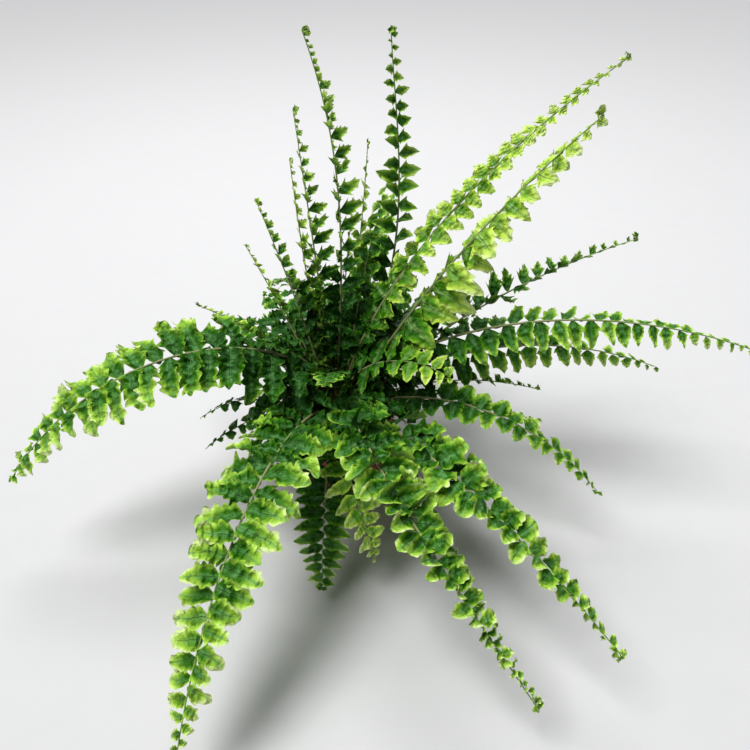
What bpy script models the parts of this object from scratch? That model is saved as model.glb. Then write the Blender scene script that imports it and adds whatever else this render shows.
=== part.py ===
"""A ruffled sword fern in a small nursery pot: every frond, the rootstock, the potting mix and the
pot as closed solids. Units are metres, +Z is up, and the pot stands on Z = 0 with its axis on Z."""

from collections import namedtuple
from math import cos, radians, sin, sqrt

import bmesh
import bpy
from mathutils import Vector

# Pot
POT_HEIGHT = 0.080
RIM_RADIUS = 0.045
RIM_DEPTH = 0.009
BODY_TOP_RADIUS = 0.0425
BODY_FOOT_RADIUS = 0.0315
WALL = 0.0014
FOOT_RING_WIDTH = 0.003
BASE_LIFT = 0.002
PAD_RADIUS = 0.011
HOLE_COUNT = 6
HOLE_RADIUS = 0.0035
HOLE_CIRCLE = 0.0195
POT_STEPS = 40

# Potting mix and rootstock
GAP = 0.0003
SOIL_TOP = 0.070
SOIL_DOME = 0.0016
ROOTSTOCK_RADIUS = 0.018
ROOTSTOCK_HEIGHT = 0.0085
ROOTSTOCK_CENTRE = SOIL_TOP + SOIL_DOME + GAP

# Fronds
RING_RADII = (0.0045, 0.0095, 0.0148)
ROOT_LIFT = 0.0019
SURFACE_CLEARANCE = 0.004
ARC_STEPS = 60
STALK_SHARE = 0.17
STALK_HALF_WIDTH = 0.0011
RACHIS_THICKNESS = 0.0022
EDGE_THICKNESS_SHARE = 0.40
VALLEY_SHARE = 0.45
TIP_HALF_WIDTH = 0.0008

Frond = namedtuple(
    "Frond",
    "name ring root azimuth turn launch end bend length half_width lean_base lean_tip pairs",
)
# ring: which ring of the rootstock it grows from. root: where on that ring, in degrees.
# azimuth: heading in degrees, 0 to the right and 90 to the back. turn: change of heading to the tip.
# launch and end: degrees above level at the base and the tip. bend: under 1 bends early.
# length and half_width in mm. lean: degrees the blade rolls about its midrib. pairs: leaflet pairs.
FRONDS = [
    Frond(*row)
    for row in (
        ("back_tall_left", 0, 120, 60, 105, 84, 70, 1.0, 266, 12, 20, 30, 14),
        ("back_mid_left", 1, 124, 117, 0, 78, 73, 1.0, 214, 12, 20, 20, 12),
        ("back_fine_left", 1, 142, 128, -10, 72, 80, 1.0, 182, 9, 20, 20, 10),
        ("back_thin_mid", 1, 78, 62, 20, 76, 66, 1.0, 190, 8, 20, 20, 10),
        ("back_tall_right", 0, 65, 24, 60, 56, 114, 1.0, 284, 11, 30, 30, 14),
        ("back_short_left", 1, 168, 150, 0, 74, 66, 1.0, 160, 12, 20, 20, 10),
        ("left_young_thin", 2, 150, 142, 0, 60, 50, 1.0, 130, 6, 0, 0, 8),
        ("back_curled_small", 1, 97, 78, 0, 74, 56, 1.5, 148, 7, 20, 20, 8),
        ("back_end_on", 1, 53, 64, 0, 66, 40, 1.5, 178, 13, 0, 0, 10),
        ("right_high_arch", 0, 325, 14, 0, 88, 32, 0.5, 322, 15, 0, 30, 16),
        ("right_bright_arch", 1, 350, -6, 0, 64, 46, 1.0, 276, 26, 20, 45, 14),
        ("right_rising_dark", 2, 18, 10, 0, 44, 14, 1.0, 244, 16, 0, 20, 13),
        ("right_long", 1, 325, -7, 0, 66, -18, 0.6, 314, 20, 10, 25, 16),
        ("right_under_long", 2, 0, 0, 0, 46, -24, 0.8, 244, 18, 0, 10, 13),
        ("right_drooping", 2, 324, -21, 0, 34, -52, 1.0, 212, 17, 20, 20, 12),
        ("right_small_upper", 2, 346, -3, 0, 30, -16, 1.0, 142, 9, 0, 0, 9),
        ("right_small_lower", 2, 334, -13, 0, 20, -14, 1.0, 142, 8, 0, 0, 9),
        ("right_curly_small", 2, 312, -40, 0, 38, -44, 1.0, 92, 9, 0, 0, 6),
        ("right_inner_dark", 1, 15, 38, 0, 62, -30, 1.0, 125, 14, 0, 0, 9),
        ("left_long", 1, 190, -158, 0, 88, -55, 0.6, 290, 34, -20, -30, 14),
        ("left_young_mid", 2, 170, 168, 0, 58, 16, 1.0, 122, 6, 0, 0, 8),
        ("left_small_upper", 2, 205, -172, 0, 30, -34, 1.0, 98, 11, 0, 0, 7),
        ("left_small_lower", 2, 219, -156, 0, 22, -34, 1.0, 98, 11, 0, 0, 7),
        ("left_inner_back", 2, 187, 182, 0, 54, 0, 1.0, 108, 14, 0, 0, 8),
        ("left_inner_front", 1, 226, -134, 0, 60, -44, 1.0, 94, 15, 0, 0, 8),
        ("front_left_long", 2, 248, -108, 4, 40, -54, 0.9, 298, 36, 0, 0, 15),
        ("front_short_dark", 2, 265, -94, 0, 30, -78, 0.8, 155, 20, 0, 0, 10),
        ("front_short_bright", 1, 264, -91, 46, 42, -72, 0.8, 152, 17, 0, 0, 10),
        ("front_right_long", 2, 282, -82, 53, 46, -54, 0.8, 300, 28, 0, 0, 15),
        ("front_right_far", 2, 300, -59, 20, 29, -37, 0.9, 280, 23, 0, 20, 14),
        ("front_small_behind", 2, 291, -58, 0, 14, -48, 1.0, 180, 7, 0, 0, 9),
        ("centre_right_bright", 1, 290, -26, 0, 88, -22, 0.9, 116, 11, 0, 0, 9),
        ("centre_front_pale", 1, 244, -91, 0, 76, 10, 1.0, 105, 13, 0, 0, 8),
        ("centre_back_toothed", 0, 20, 54, 0, 80, 62, 1.0, 165, 10, 0, 0, 9),
        ("centre_front_low", 2, 235, -128, 0, 42, -56, 1.0, 105, 14, 0, 0, 8),
        ("inner_front_right", 1, 310, -66, 0, 58, 0, 1.0, 84, 12, 0, 0, 7),
        ("inner_left", 0, 200, -160, 0, 74, 20, 1.0, 92, 9, 0, 0, 8),
        ("inner_back_left", 2, 141, 128, 0, 57, 6, 1.0, 104, 10, 0, 0, 8),
        ("inner_back", 2, 98, 100, 0, 56, 6, 1.0, 104, 10, 0, 0, 8),
        ("inner_back_right", 2, 58, 58, 0, 52, 6, 1.0, 110, 10, 0, 0, 8),
        ("rear_right_low", 2, 48, 48, 0, 40, -46, 1.0, 185, 17, 0, 0, 11),
        ("rear_mid_right", 2, 68, 70, 0, 46, -44, 1.0, 200, 17, 0, 0, 11),
        ("rear_mid", 2, 88, 92, 0, 40, -50, 1.0, 195, 17, 0, 0, 11),
        ("rear_mid_left", 2, 110, 112, 0, 46, -44, 1.0, 195, 17, 0, 0, 11),
        ("rear_left_low", 2, 130, 134, 0, 38, -46, 1.0, 165, 17, 0, 0, 11),
    )
]

# Colours (linear RGB) and roughness
LEAF_YOUNG = (0.22, 0.50, 0.04)
LEAF_BRIGHT = (0.10, 0.34, 0.03)
LEAF_MID = (0.05, 0.22, 0.02)
LEAF_DARK = (0.02, 0.12, 0.012)
POT_COLOUR = (0.28, 0.045, 0.02)
SOIL_COLOUR = (0.03, 0.018, 0.010)
ROOTSTOCK_COLOUR = (0.09, 0.045, 0.018)


def clear_scene():
    """Remove what the start-up scene holds."""
    for thing in list(bpy.data.objects):
        bpy.data.objects.remove(thing, do_unlink=True)


def new_collection(name):
    """Make a collection in the scene."""
    made = bpy.data.collections.new(name)
    bpy.context.scene.collection.children.link(made)
    return made


def material(name, colour, roughness):
    """Make a plain Principled material."""
    made = bpy.data.materials.new(name)
    made.use_nodes = True
    shader = made.node_tree.nodes["Principled BSDF"]
    shader.inputs["Base Color"].default_value = (*colour, 1.0)
    shader.inputs["Roughness"].default_value = roughness
    made.diffuse_color = (*colour, 1.0)
    return made


def add_mesh(name, shape, look, collection):
    """Turn a bmesh into a named object with one material."""
    mesh = bpy.data.meshes.new(name)
    shape.to_mesh(mesh)
    shape.free()
    mesh.materials.append(look)
    thing = bpy.data.objects.new(name, mesh)
    collection.objects.link(thing)
    return thing


def turned(name, profile, look, collection, steps=POT_STEPS):
    """Turn an open profile of (radius, height) points, whose ends lie on the axis, into a solid."""
    shape = bmesh.new()
    points = [shape.verts.new((radius, 0.0, height)) for radius, height in profile]
    for start, end in zip(points, points[1:]):
        shape.edges.new((start, end))
    thing = add_mesh(name, shape, look, collection)
    screw = thing.modifiers.new("Turn", "SCREW")
    screw.axis = "Z"
    screw.steps = steps
    screw.render_steps = steps
    screw.use_merge_vertices = True
    screw.merge_threshold = 0.00002
    return thing


def inner_radius(height):
    """Radius of the pot's inside face at a height above the base."""
    share = height / (POT_HEIGHT - RIM_DEPTH)
    outer = BODY_FOOT_RADIUS + (BODY_TOP_RADIUS - BODY_FOOT_RADIUS) * share
    return outer - WALL


def pot_profile():
    """Inside from the middle of the floor up to the rim, then the outside down to the base."""
    rim_foot = POT_HEIGHT - RIM_DEPTH
    floor_top = BASE_LIFT + WALL
    ring_inner = BODY_FOOT_RADIUS - FOOT_RING_WIDTH
    rim_inner = RIM_RADIUS - WALL
    return [
        (0.0, floor_top),
        (inner_radius(floor_top) - 0.002, floor_top),
        (inner_radius(floor_top + 0.002), floor_top + 0.002),
        (inner_radius(rim_foot - 0.001), rim_foot - 0.001),
        (rim_inner - 0.0005, rim_foot + 0.0012),
        (rim_inner, rim_foot + 0.003),
        (rim_inner, POT_HEIGHT - 0.0006),
        (rim_inner + 0.0005, POT_HEIGHT),
        (RIM_RADIUS - 0.0004, POT_HEIGHT),
        (RIM_RADIUS + 0.0006, POT_HEIGHT - 0.0008),
        (RIM_RADIUS + 0.0006, POT_HEIGHT - 0.0022),
        (RIM_RADIUS, POT_HEIGHT - 0.0030),
        (RIM_RADIUS - 0.0006, rim_foot + 0.0006),
        (RIM_RADIUS - 0.0012, rim_foot),
        (BODY_TOP_RADIUS, rim_foot - 0.0004),
        (BODY_FOOT_RADIUS + 0.0006, 0.004),
        (BODY_FOOT_RADIUS, 0.001),
        (BODY_FOOT_RADIUS - 0.0006, 0.0),
        (ring_inner, 0.0),
        (ring_inner - 0.0008, BASE_LIFT),
        (PAD_RADIUS + 0.0010, BASE_LIFT),
        (PAD_RADIUS, 0.0),
        (0.0, 0.0),
    ]


def build_pot(collection, cutters):
    """The moulded pot with its rim, foot ring, centre pad and drainage holes."""
    look = material("pot_plastic", POT_COLOUR, 0.5)
    pot = turned("pot", pot_profile(), look, collection)
    for index in range(HOLE_COUNT):
        angle = radians(360.0 * index / HOLE_COUNT + 30.0)
        drill = bmesh.new()
        bmesh.ops.create_cone(
            drill,
            cap_ends=True,
            segments=16,
            radius1=HOLE_RADIUS,
            radius2=HOLE_RADIUS,
            depth=0.012,
        )
        bmesh.ops.translate(
            drill,
            verts=drill.verts,
            vec=(HOLE_CIRCLE * cos(angle), HOLE_CIRCLE * sin(angle), 0.0),
        )
        cutter = add_mesh(f"drain_drill_{index + 1}", drill, look, cutters)
        cutter.hide_render = True
        cutter.display_type = "WIRE"
        cut = pot.modifiers.new(f"Drain {index + 1}", "BOOLEAN")
        cut.operation = "DIFFERENCE"
        cut.solver = "EXACT"
        cut.object = cutter
    return pot


def build_soil(collection):
    """Potting mix that fills the pot to a little under the rim, slightly heaped in the middle."""
    bottom = BASE_LIFT + WALL + GAP
    look = material("potting_mix", SOIL_COLOUR, 0.95)
    profile = [
        (0.0, SOIL_TOP + SOIL_DOME),
        (0.012, SOIL_TOP + SOIL_DOME),
        (0.020, SOIL_TOP + SOIL_DOME * 0.75),
        (0.030, SOIL_TOP + SOIL_DOME * 0.35),
        (inner_radius(SOIL_TOP) - GAP - 0.001, SOIL_TOP),
        (inner_radius(SOIL_TOP - 0.001) - GAP, SOIL_TOP - 0.001),
        (inner_radius(bottom + 0.003) - GAP, bottom + 0.003),
        (inner_radius(bottom) - GAP - 0.0030, bottom),
        (0.0, bottom),
    ]
    return turned("soil", profile, look, collection)


def rootstock_height(radius):
    """Height of the rootstock's surface at a distance from the axis."""
    share = min(radius / ROOTSTOCK_RADIUS, 1.0)
    return ROOTSTOCK_CENTRE + ROOTSTOCK_HEIGHT * sqrt(1.0 - share * share)


def build_rootstock(collection):
    """The low dome of old frond bases that every frond grows from."""
    look = material("rootstock_fibre", ROOTSTOCK_COLOUR, 0.95)
    rings = 6
    profile = [
        (
            ROOTSTOCK_RADIUS * sin(radians(90.0 * index / rings)),
            ROOTSTOCK_CENTRE + ROOTSTOCK_HEIGHT * cos(radians(90.0 * index / rings)),
        )
        for index in range(rings + 1)
    ]
    profile[0] = (0.0, profile[0][1])
    profile.append((0.0, ROOTSTOCK_CENTRE))
    return turned("rootstock", profile, look, collection, steps=28)


def frond_arc(frond):
    """Points, sideways vectors and shares of the length along a frond's midrib."""
    radius = RING_RADII[frond.ring]
    root = radians(frond.root)
    place = Vector(
        (radius * cos(root), radius * sin(root), rootstock_height(radius) + ROOT_LIFT)
    )
    step = frond.length * 0.001 / ARC_STEPS
    places, sides = [], []
    for index in range(ARC_STEPS + 1):
        share = index / ARC_STEPS
        rise = radians(frond.launch + (frond.end - frond.launch) * share**frond.bend)
        heading = radians(frond.azimuth + frond.turn * share**1.5)
        ahead = Vector((cos(rise) * cos(heading), cos(rise) * sin(heading), sin(rise)))
        if ahead.z < 0.0 and place.z + ahead.z * step < SURFACE_CLEARANCE:
            ahead = Vector((cos(heading), sin(heading), 0.0))
        level = Vector((-sin(heading), cos(heading), 0.0))
        lean = radians(frond.lean_base + (frond.lean_tip - frond.lean_base) * share)
        sides.append(level * cos(lean) + ahead.cross(level) * sin(lean))
        places.append(place.copy())
        place = place + ahead * step
    return places, sides


def along(values, share):
    """Read a list of vectors at a share of its length, between its entries."""
    spot = min(max(share, 0.0), 1.0) * (len(values) - 1)
    low = min(int(spot), len(values) - 2)
    return values[low].lerp(values[low + 1], spot - low)


def blade_share(share):
    """Width of the blade along the frond, as a share of its greatest width."""
    grown = min((share - STALK_SHARE) / 0.12, 1.0)
    if grown <= 0.0:
        return 0.0
    return grown**0.6 * min((1.0 - share) / 0.55, 1.0) ** 0.75


def frond_rows(frond):
    """(share, half width) of each row across the frond, from the stalk to the tip."""
    rows = [(0.0, STALK_HALF_WIDTH), (STALK_SHARE * 0.5, STALK_HALF_WIDTH)]
    pitch = (1.0 - STALK_SHARE) / frond.pairs
    for index in range(frond.pairs):
        valley = STALK_SHARE + pitch * index
        crest = valley + pitch * 0.62
        reach = frond.half_width * 0.001 * blade_share(crest)
        waist = frond.half_width * 0.001 * blade_share(valley) * VALLEY_SHARE
        rows.append((valley, max(waist, STALK_HALF_WIDTH)))
        rows.append((crest, max(reach, STALK_HALF_WIDTH * 1.4)))
    rows.append((1.0, TIP_HALF_WIDTH))
    return rows


def build_frond(frond, look, collection):
    """One frond: a toothed strip along its midrib, thick at the midrib and thin at the edge."""
    places, sides = frond_arc(frond)
    shape = bmesh.new()
    rows = []
    for share, half_width in frond_rows(frond):
        centre = along(places, share)
        side = along(sides, share).normalized()
        rows.append(
            [shape.verts.new(centre + side * half_width * across) for across in (-1, 0, 1)]
        )
    for low, high in zip(rows, rows[1:]):
        shape.faces.new((low[0], low[1], high[1], high[0]))
        shape.faces.new((low[1], low[2], high[2], high[1]))
    thing = add_mesh(frond.name, shape, look, collection)
    group = thing.vertex_groups.new(name="thickness")
    for index, (share, _) in enumerate(frond_rows(frond)):
        edge = 1.0 if share < STALK_SHARE else EDGE_THICKNESS_SHARE
        for column, weight in enumerate((edge, 1.0, edge)):
            group.add([index * 3 + column], weight, "REPLACE")
    solidify = thing.modifiers.new("Thickness", "SOLIDIFY")
    solidify.thickness = RACHIS_THICKNESS
    solidify.offset = 0.0
    solidify.vertex_group = group.name
    return thing


def frond_looks():
    """A material for each kind of frond, with the words in a frond's name that call for it."""
    return [
        (("thin", "young", "curled", "fine"), material("leaf_young", LEAF_YOUNG, 0.5)),
        (("bright", "high", "pale"), material("leaf_bright", LEAF_BRIGHT, 0.5)),
        (("dark", "inner", "rear", "behind"), material("leaf_dark", LEAF_DARK, 0.5)),
        (("",), material("leaf_mid", LEAF_MID, 0.5)),
    ]


def main():
    clear_scene()
    plant = new_collection("potted_fern")
    cutters = new_collection("cutters")
    build_pot(plant, cutters)
    build_soil(plant)
    build_rootstock(plant)
    looks = frond_looks()
    for frond in FRONDS:
        look = next(l for words, l in looks if any(word in frond.name for word in words))
        build_frond(frond, look, plant)


main()
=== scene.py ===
# %% [markdown]
# # A fern in a nursery pot
# A ruffled sword fern grows from a short mound of fibre in a small plastic
# pot. The plan is to build it in steps: the forty-five fronds, each one a
# midrib with a row of leaflets down either side, then the pot, the potting
# mix and the mound that every stalk rises from.
# The frame holds the measured solids of all these pieces, in metres, and it
# is loaded first so that every piece goes where its solid stands.

# %% Load the frame
import bmesh
import bpy
import random
from collections import namedtuple
from math import cos, pi, radians, sin, sqrt, tan
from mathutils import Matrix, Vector, noise


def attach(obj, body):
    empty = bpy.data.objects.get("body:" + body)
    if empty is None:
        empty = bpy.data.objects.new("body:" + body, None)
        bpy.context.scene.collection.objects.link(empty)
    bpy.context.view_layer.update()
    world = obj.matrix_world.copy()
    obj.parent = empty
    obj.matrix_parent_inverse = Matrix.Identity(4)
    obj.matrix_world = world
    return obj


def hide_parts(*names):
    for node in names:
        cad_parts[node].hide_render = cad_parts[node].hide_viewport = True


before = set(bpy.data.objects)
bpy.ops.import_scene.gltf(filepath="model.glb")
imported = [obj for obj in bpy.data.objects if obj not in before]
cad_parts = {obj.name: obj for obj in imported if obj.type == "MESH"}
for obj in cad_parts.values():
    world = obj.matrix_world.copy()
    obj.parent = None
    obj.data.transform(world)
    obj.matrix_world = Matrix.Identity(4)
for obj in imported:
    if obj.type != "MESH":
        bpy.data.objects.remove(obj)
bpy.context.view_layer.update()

# %% [markdown]
# ## Camera
# A fern is looked at from a little above, near enough for the front fronds
# to spread out below the pot and the rear ones to rise behind it. The lens
# is a moderate wide one. The camera is aimed by turning its own -Z axis
# along the line of sight.

# %% Camera
LINE_OF_SIGHT = radians(-35.0)
VIEW_WIDTH = radians(49.5)
VIEW_DISTANCE = 0.64
AIM = Vector((0.0275, 0.0113, 0.0941))
SENSOR_WIDTH = 36.0
NEAREST_SEEN, FARTHEST_SEEN = 0.01, 50.0


def placed(name, data):
    """An object with this data, in the scene."""
    thing = bpy.data.objects.new(name, data)
    bpy.context.scene.collection.objects.link(thing)
    return thing


def aimed(thing, place, sight):
    """Puts a camera or a lamp in its place and turns it along its sight."""
    thing.location = place
    thing.rotation_mode = "QUATERNION"
    thing.rotation_quaternion = sight.to_track_quat("-Z", "Y")
    return thing


def place_camera():
    ahead = Vector((0.0, cos(LINE_OF_SIGHT), sin(LINE_OF_SIGHT)))
    data = bpy.data.cameras.new("plant_camera")
    data.sensor_width = SENSOR_WIDTH
    data.lens = SENSOR_WIDTH / (2.0 * tan(VIEW_WIDTH / 2.0))
    data.clip_start, data.clip_end = NEAREST_SEEN, FARTHEST_SEEN
    camera = aimed(placed("plant_camera", data), AIM - ahead * VIEW_DISTANCE, ahead)
    bpy.context.scene.camera = camera
    return camera


print("camera stands at", [round(x, 3) for x in place_camera().location])

# %% [markdown]
# ## Small helpers for node trees
# Materials and Geometry Nodes are both trees of nodes. Two helpers keep the
# steps that follow short: one puts a value or a wire on a socket, and one
# adds a node with its settings and inputs in a single call. The rest are the
# sums, blends and patterns that every finish is mixed from.


# %% Nodes and sums
def wire(tree, socket, value):
    if isinstance(value, bpy.types.NodeSocket):
        tree.links.new(value, socket)
    else:
        socket.default_value = value


def add(tree, kind, inputs=None, **settings):
    node = tree.nodes.new(kind)
    for key, value in settings.items():
        setattr(node, key, value)
    for key, value in (inputs or {}).items():
        wire(tree, node.inputs[key], value)
    return node


def maths(tree, operation, *values, clamp=False):
    node = add(
        tree,
        "ShaderNodeMath",
        dict(enumerate(values)),
        operation=operation,
        use_clamp=clamp,
    )
    return node.outputs[0]


def times(tree, first, second):
    return maths(tree, "MULTIPLY", first, second)


def vectors(tree, operation, *values, scale=None):
    inputs = dict(enumerate(values))
    if scale is not None:
        inputs[3] = scale
    node = add(tree, "ShaderNodeVectorMath", inputs, operation=operation)
    return node.outputs["Value" if operation == "DISTANCE" else "Vector"]


def eased(tree, value, low, high, start=0.0, end=1.0):
    """value taken smoothly from start at low to end at high."""
    node = add(
        tree,
        "ShaderNodeMapRange",
        {0: value, 1: low, 2: high, 3: start, 4: end},
        interpolation_type="SMOOTHSTEP",
    )
    return node.outputs[0]


def split(tree, vector):
    """The three numbers of a vector."""
    return add(tree, "ShaderNodeSeparateXYZ", {0: vector}).outputs


print("helpers for nodes are ready")


# %% Colours, patterns and relief
def colour(red, green, blue):
    return (red, green, blue, 1.0)


def blended(tree, share, first, second):
    """A colour between two others."""
    node = add(
        tree,
        "ShaderNodeMix",
        {0: share, 6: first, 7: second},
        data_type="RGBA",
    )
    return node.outputs[2]


def speckle(tree, where, scale, detail=3.0, roughness=0.55):
    """Noise between 0 and 1 at this many cells to the metre."""
    inputs = {"Vector": where, "Scale": scale, "Detail": detail, "Roughness": roughness}
    return add(tree, "ShaderNodeTexNoise", inputs).outputs[0]


def drawn_out(tree, where, cells, detail):
    """Noise with a different number of cells to the metre on each axis."""
    stretched = add(tree, "ShaderNodeMapping", {0: where, 3: cells}).outputs[0]
    return speckle(tree, stretched, 1.0, detail)


def measured(tree, name):
    """A number that the mesh carries at each point."""
    return add(tree, "ShaderNodeAttribute", attribute_name=name).outputs["Fac"]


def new_finish(name, specular=0.5):
    """An empty material with a shader, and the place on the piece."""
    material = bpy.data.materials.new(name)
    material.use_nodes = True
    tree = material.node_tree
    shader = tree.nodes["Principled BSDF"]
    shader.inputs["Specular IOR Level"].default_value = specular
    where = add(tree, "ShaderNodeTexCoord").outputs["Object"]
    return material, tree, shader, where


def coated(tree, shader, tint, roughness):
    """Puts a colour and a roughness on the shader."""
    wire(tree, shader.inputs["Base Color"], tint)
    wire(tree, shader.inputs["Roughness"], roughness)


def raised(tree, shader, height, distance, strength=1.0):
    """Turns a height between 0 and 1 into relief of this many metres."""
    inputs = {"Height": height, "Distance": distance, "Strength": strength}
    wire(tree, shader.inputs["Normal"], add(tree, "ShaderNodeBump", inputs).outputs[0])


print("helpers for finishes are ready")

# %% [markdown]
# ## Studio
# The plant stands on a plain pale sheet, wide enough to fill the view. A
# broad sun, high on the left and a little to the front, shapes the leaves. A
# soft lamp above and behind puts a sheen on them, and a faint pale sky fills
# the shadows only a little, so that the heart of the plant stays dark.

# %% Floor
FLOOR_HALF = 6.0
FLOOR_GRAIN = 45.0


def floor_finish():
    material, tree, shader, where = new_finish("floor_pale", 0.2)
    grain = speckle(tree, where, FLOOR_GRAIN)
    tint = blended(tree, grain, colour(0.655, 0.655, 0.665), colour(0.68, 0.68, 0.685))
    coated(tree, shader, tint, 0.9)
    return material


def place_floor():
    signs = ((-1, -1), (1, -1), (1, 1), (-1, 1))
    corners = [(x * FLOOR_HALF, y * FLOOR_HALF, 0.0) for x, y in signs]
    mesh = bpy.data.meshes.new("floor")
    mesh.from_pydata(corners, [], [(0, 1, 2, 3)])
    mesh.materials.append(floor_finish())
    placed("floor", mesh)


place_floor()
print("floor:", 2.0 * FLOOR_HALF, "m square")

# %% Lamps and sky
Lamp = namedtuple("Lamp", "name kind place aim size power")
LAMPS = (
    Lamp("key_sun", "SUN", (-0.80, -0.40, 1.9), (0.0, 0.0, 0.0), radians(28.0), 2.75),
    Lamp("back_lamp", "AREA", (-0.10, 0.70, 1.50), (0.03, 0.05, 0.1), 0.70, 12.5),
)
SKY_STRENGTH = 0.12
SKY_COLOUR = colour(0.97, 0.98, 1.0)


def place_lamps():
    for lamp in LAMPS:
        data = bpy.data.lights.new(lamp.name, lamp.kind)
        setattr(data, "angle" if lamp.kind == "SUN" else "size", lamp.size)
        data.energy = lamp.power
        aimed(placed(lamp.name, data), lamp.place, Vector(lamp.aim) - Vector(lamp.place))


def place_sky():
    world = bpy.data.worlds.new("pale_sky")
    world.use_nodes = True
    sky = world.node_tree.nodes["Background"]
    sky.inputs["Color"].default_value = SKY_COLOUR
    sky.inputs["Strength"].default_value = SKY_STRENGTH
    bpy.context.scene.world = world
    bpy.context.scene.view_settings.view_transform = "Standard"


place_lamps()
place_sky()
print("lamps:", ", ".join(lamp.name for lamp in LAMPS))

# %% [markdown]
# ## Leaf finishes
# A fern leaflet is satin and never one green. It is darkest near the heart
# of the plant, partly from the older green there and partly as painted shade
# where the fronds crowd, and turns lime along its edges and teeth, far out
# from the heart and towards the frond's growing tip. A thin pale vein runs
# down it, with side veins slanting out to the teeth and the blade swelling a
# little between them, and a pale sheen is painted in a broad band along the
# vein and the side veins. The green, with its painted shade, adds up to one
# number, the ripeness and shade, that picks the green from a ramp; the vein
# and the painted sheen are mixed over it.
# The leaflet's own UV map says how far along and how far across a point is,
# and each frond carries how far out along the midrib the leaflet grows, so
# one recipe covers every leaf. Four mixes of it are made: young lime fronds,
# bright ones high up, full-grown ones, and the dark ones underneath. The
# bright mix is partly painted light, and the dark mix partly painted shade.

# %% Leaf tones
# pale is the colour of the thin vein and of the painted sheen.
LeafTones = namedtuple("LeafTones", "deep blade lime pale ripeness")
LEAF_TONES = {
    "leaf_young": LeafTones(
        deep=(0.014, 0.110, 0.001),
        blade=(0.09, 0.30, 0.004),
        lime=(0.60, 0.84, 0.090),
        pale=(0.46, 0.72, 0.22),
        ripeness=0.24,
    ),
    # The bright mix, for fronds high up, is partly painted light.
    "leaf_bright": LeafTones(
        deep=(0.010, 0.095, 0.001),
        blade=(0.078, 0.28, 0.003),
        lime=(0.66, 0.92, 0.110),
        pale=(0.40, 0.66, 0.20),
        ripeness=0.22,
    ),
    "leaf_mid": LeafTones(
        deep=(0.006, 0.060, 0.001),
        blade=(0.032, 0.165, 0.001),
        lime=(0.44, 0.74, 0.070),
        pale=(0.16, 0.42, 0.13),
        ripeness=0.04,
    ),
    # The dark mix, for fronds inside, behind and under the others, is partly painted shade.
    "leaf_dark": LeafTones(
        deep=(0.005, 0.050, 0.001),
        blade=(0.022, 0.125, 0.001),
        lime=(0.20, 0.42, 0.030),
        pale=(0.11, 0.31, 0.10),
        ripeness=0.01,
    ),
}
TIP_TONE = (0.74, 0.90, 0.36)
LEAF_GLINT = colour(0.60, 1.0, 0.40)
print("greens:", ", ".join(LEAF_TONES))

# %% Leaf finish
HEART = (0.0, 0.0, 0.09)
CROWN = (0.02, 0.13)
BLADE_STOP, LIME_STOP = 0.36, 0.80
PATCH_CELLS, MOTTLE_CELLS, PUCKER_CELLS = 32.0, 900.0, 240.0
UNRIPE = 1.01
LEAF_RELIEF = 0.0058


def ripeness(tree, along, across, from_heart, outward, noises, start):
    """How lime the leaf is here, from 0 to 1. Near the heart it stays low: partly the older
    green, partly painted shade.
    """
    patches, mottle, puckers = noises
    # Near the crown the lime of edges and teeth is held back: partly the older green,
    # partly painted shade.
    outer = times(
        tree,
        eased(tree, across, 0.35, 1.0),
        eased(tree, from_heart, *CROWN, 0.12, 0.40),
    )
    tooth = times(
        tree,
        eased(tree, along, 0.30, 1.0),
        eased(tree, from_heart, *CROWN, 0.20, 0.52),
    )
    growing = times(tree, eased(tree, measured(tree, "frond_share"), 0.30, 1.0), 0.30)
    terms = (
        (outer, 1.0),
        (tooth, 1.0),
        (growing, 1.0),
        # Painted shade: the green darkens towards the heart.
        (times(tree, outward, 0.70), 1.0),
        (measured(tree, "leaflet_tone"), 0.24),
        (patches, 0.40),
        (mottle, 0.05),
        (puckers, 0.08),
    )
    ripe_and_lit = start
    for term, weight in terms:
        ripe_and_lit = maths(tree, "MULTIPLY_ADD", term, weight, ripe_and_lit)
    return maths(tree, "SUBTRACT", ripe_and_lit, UNRIPE, clamp=True)


def green_ramp(tree, ripe_and_lit, tones):
    ramp = add(tree, "ShaderNodeValToRGB", {0: ripe_and_lit})
    stops = ramp.color_ramp.elements
    stops[0].position, stops[0].color = 0.0, colour(*tones.deep)
    stops[1].position, stops[1].color = 1.0, colour(*TIP_TONE)
    for position, tone in ((BLADE_STOP, tones.blade), (LIME_STOP, tones.lime)):
        stops.new(position).color = colour(*tone)
    return ramp.outputs[0]


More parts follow.
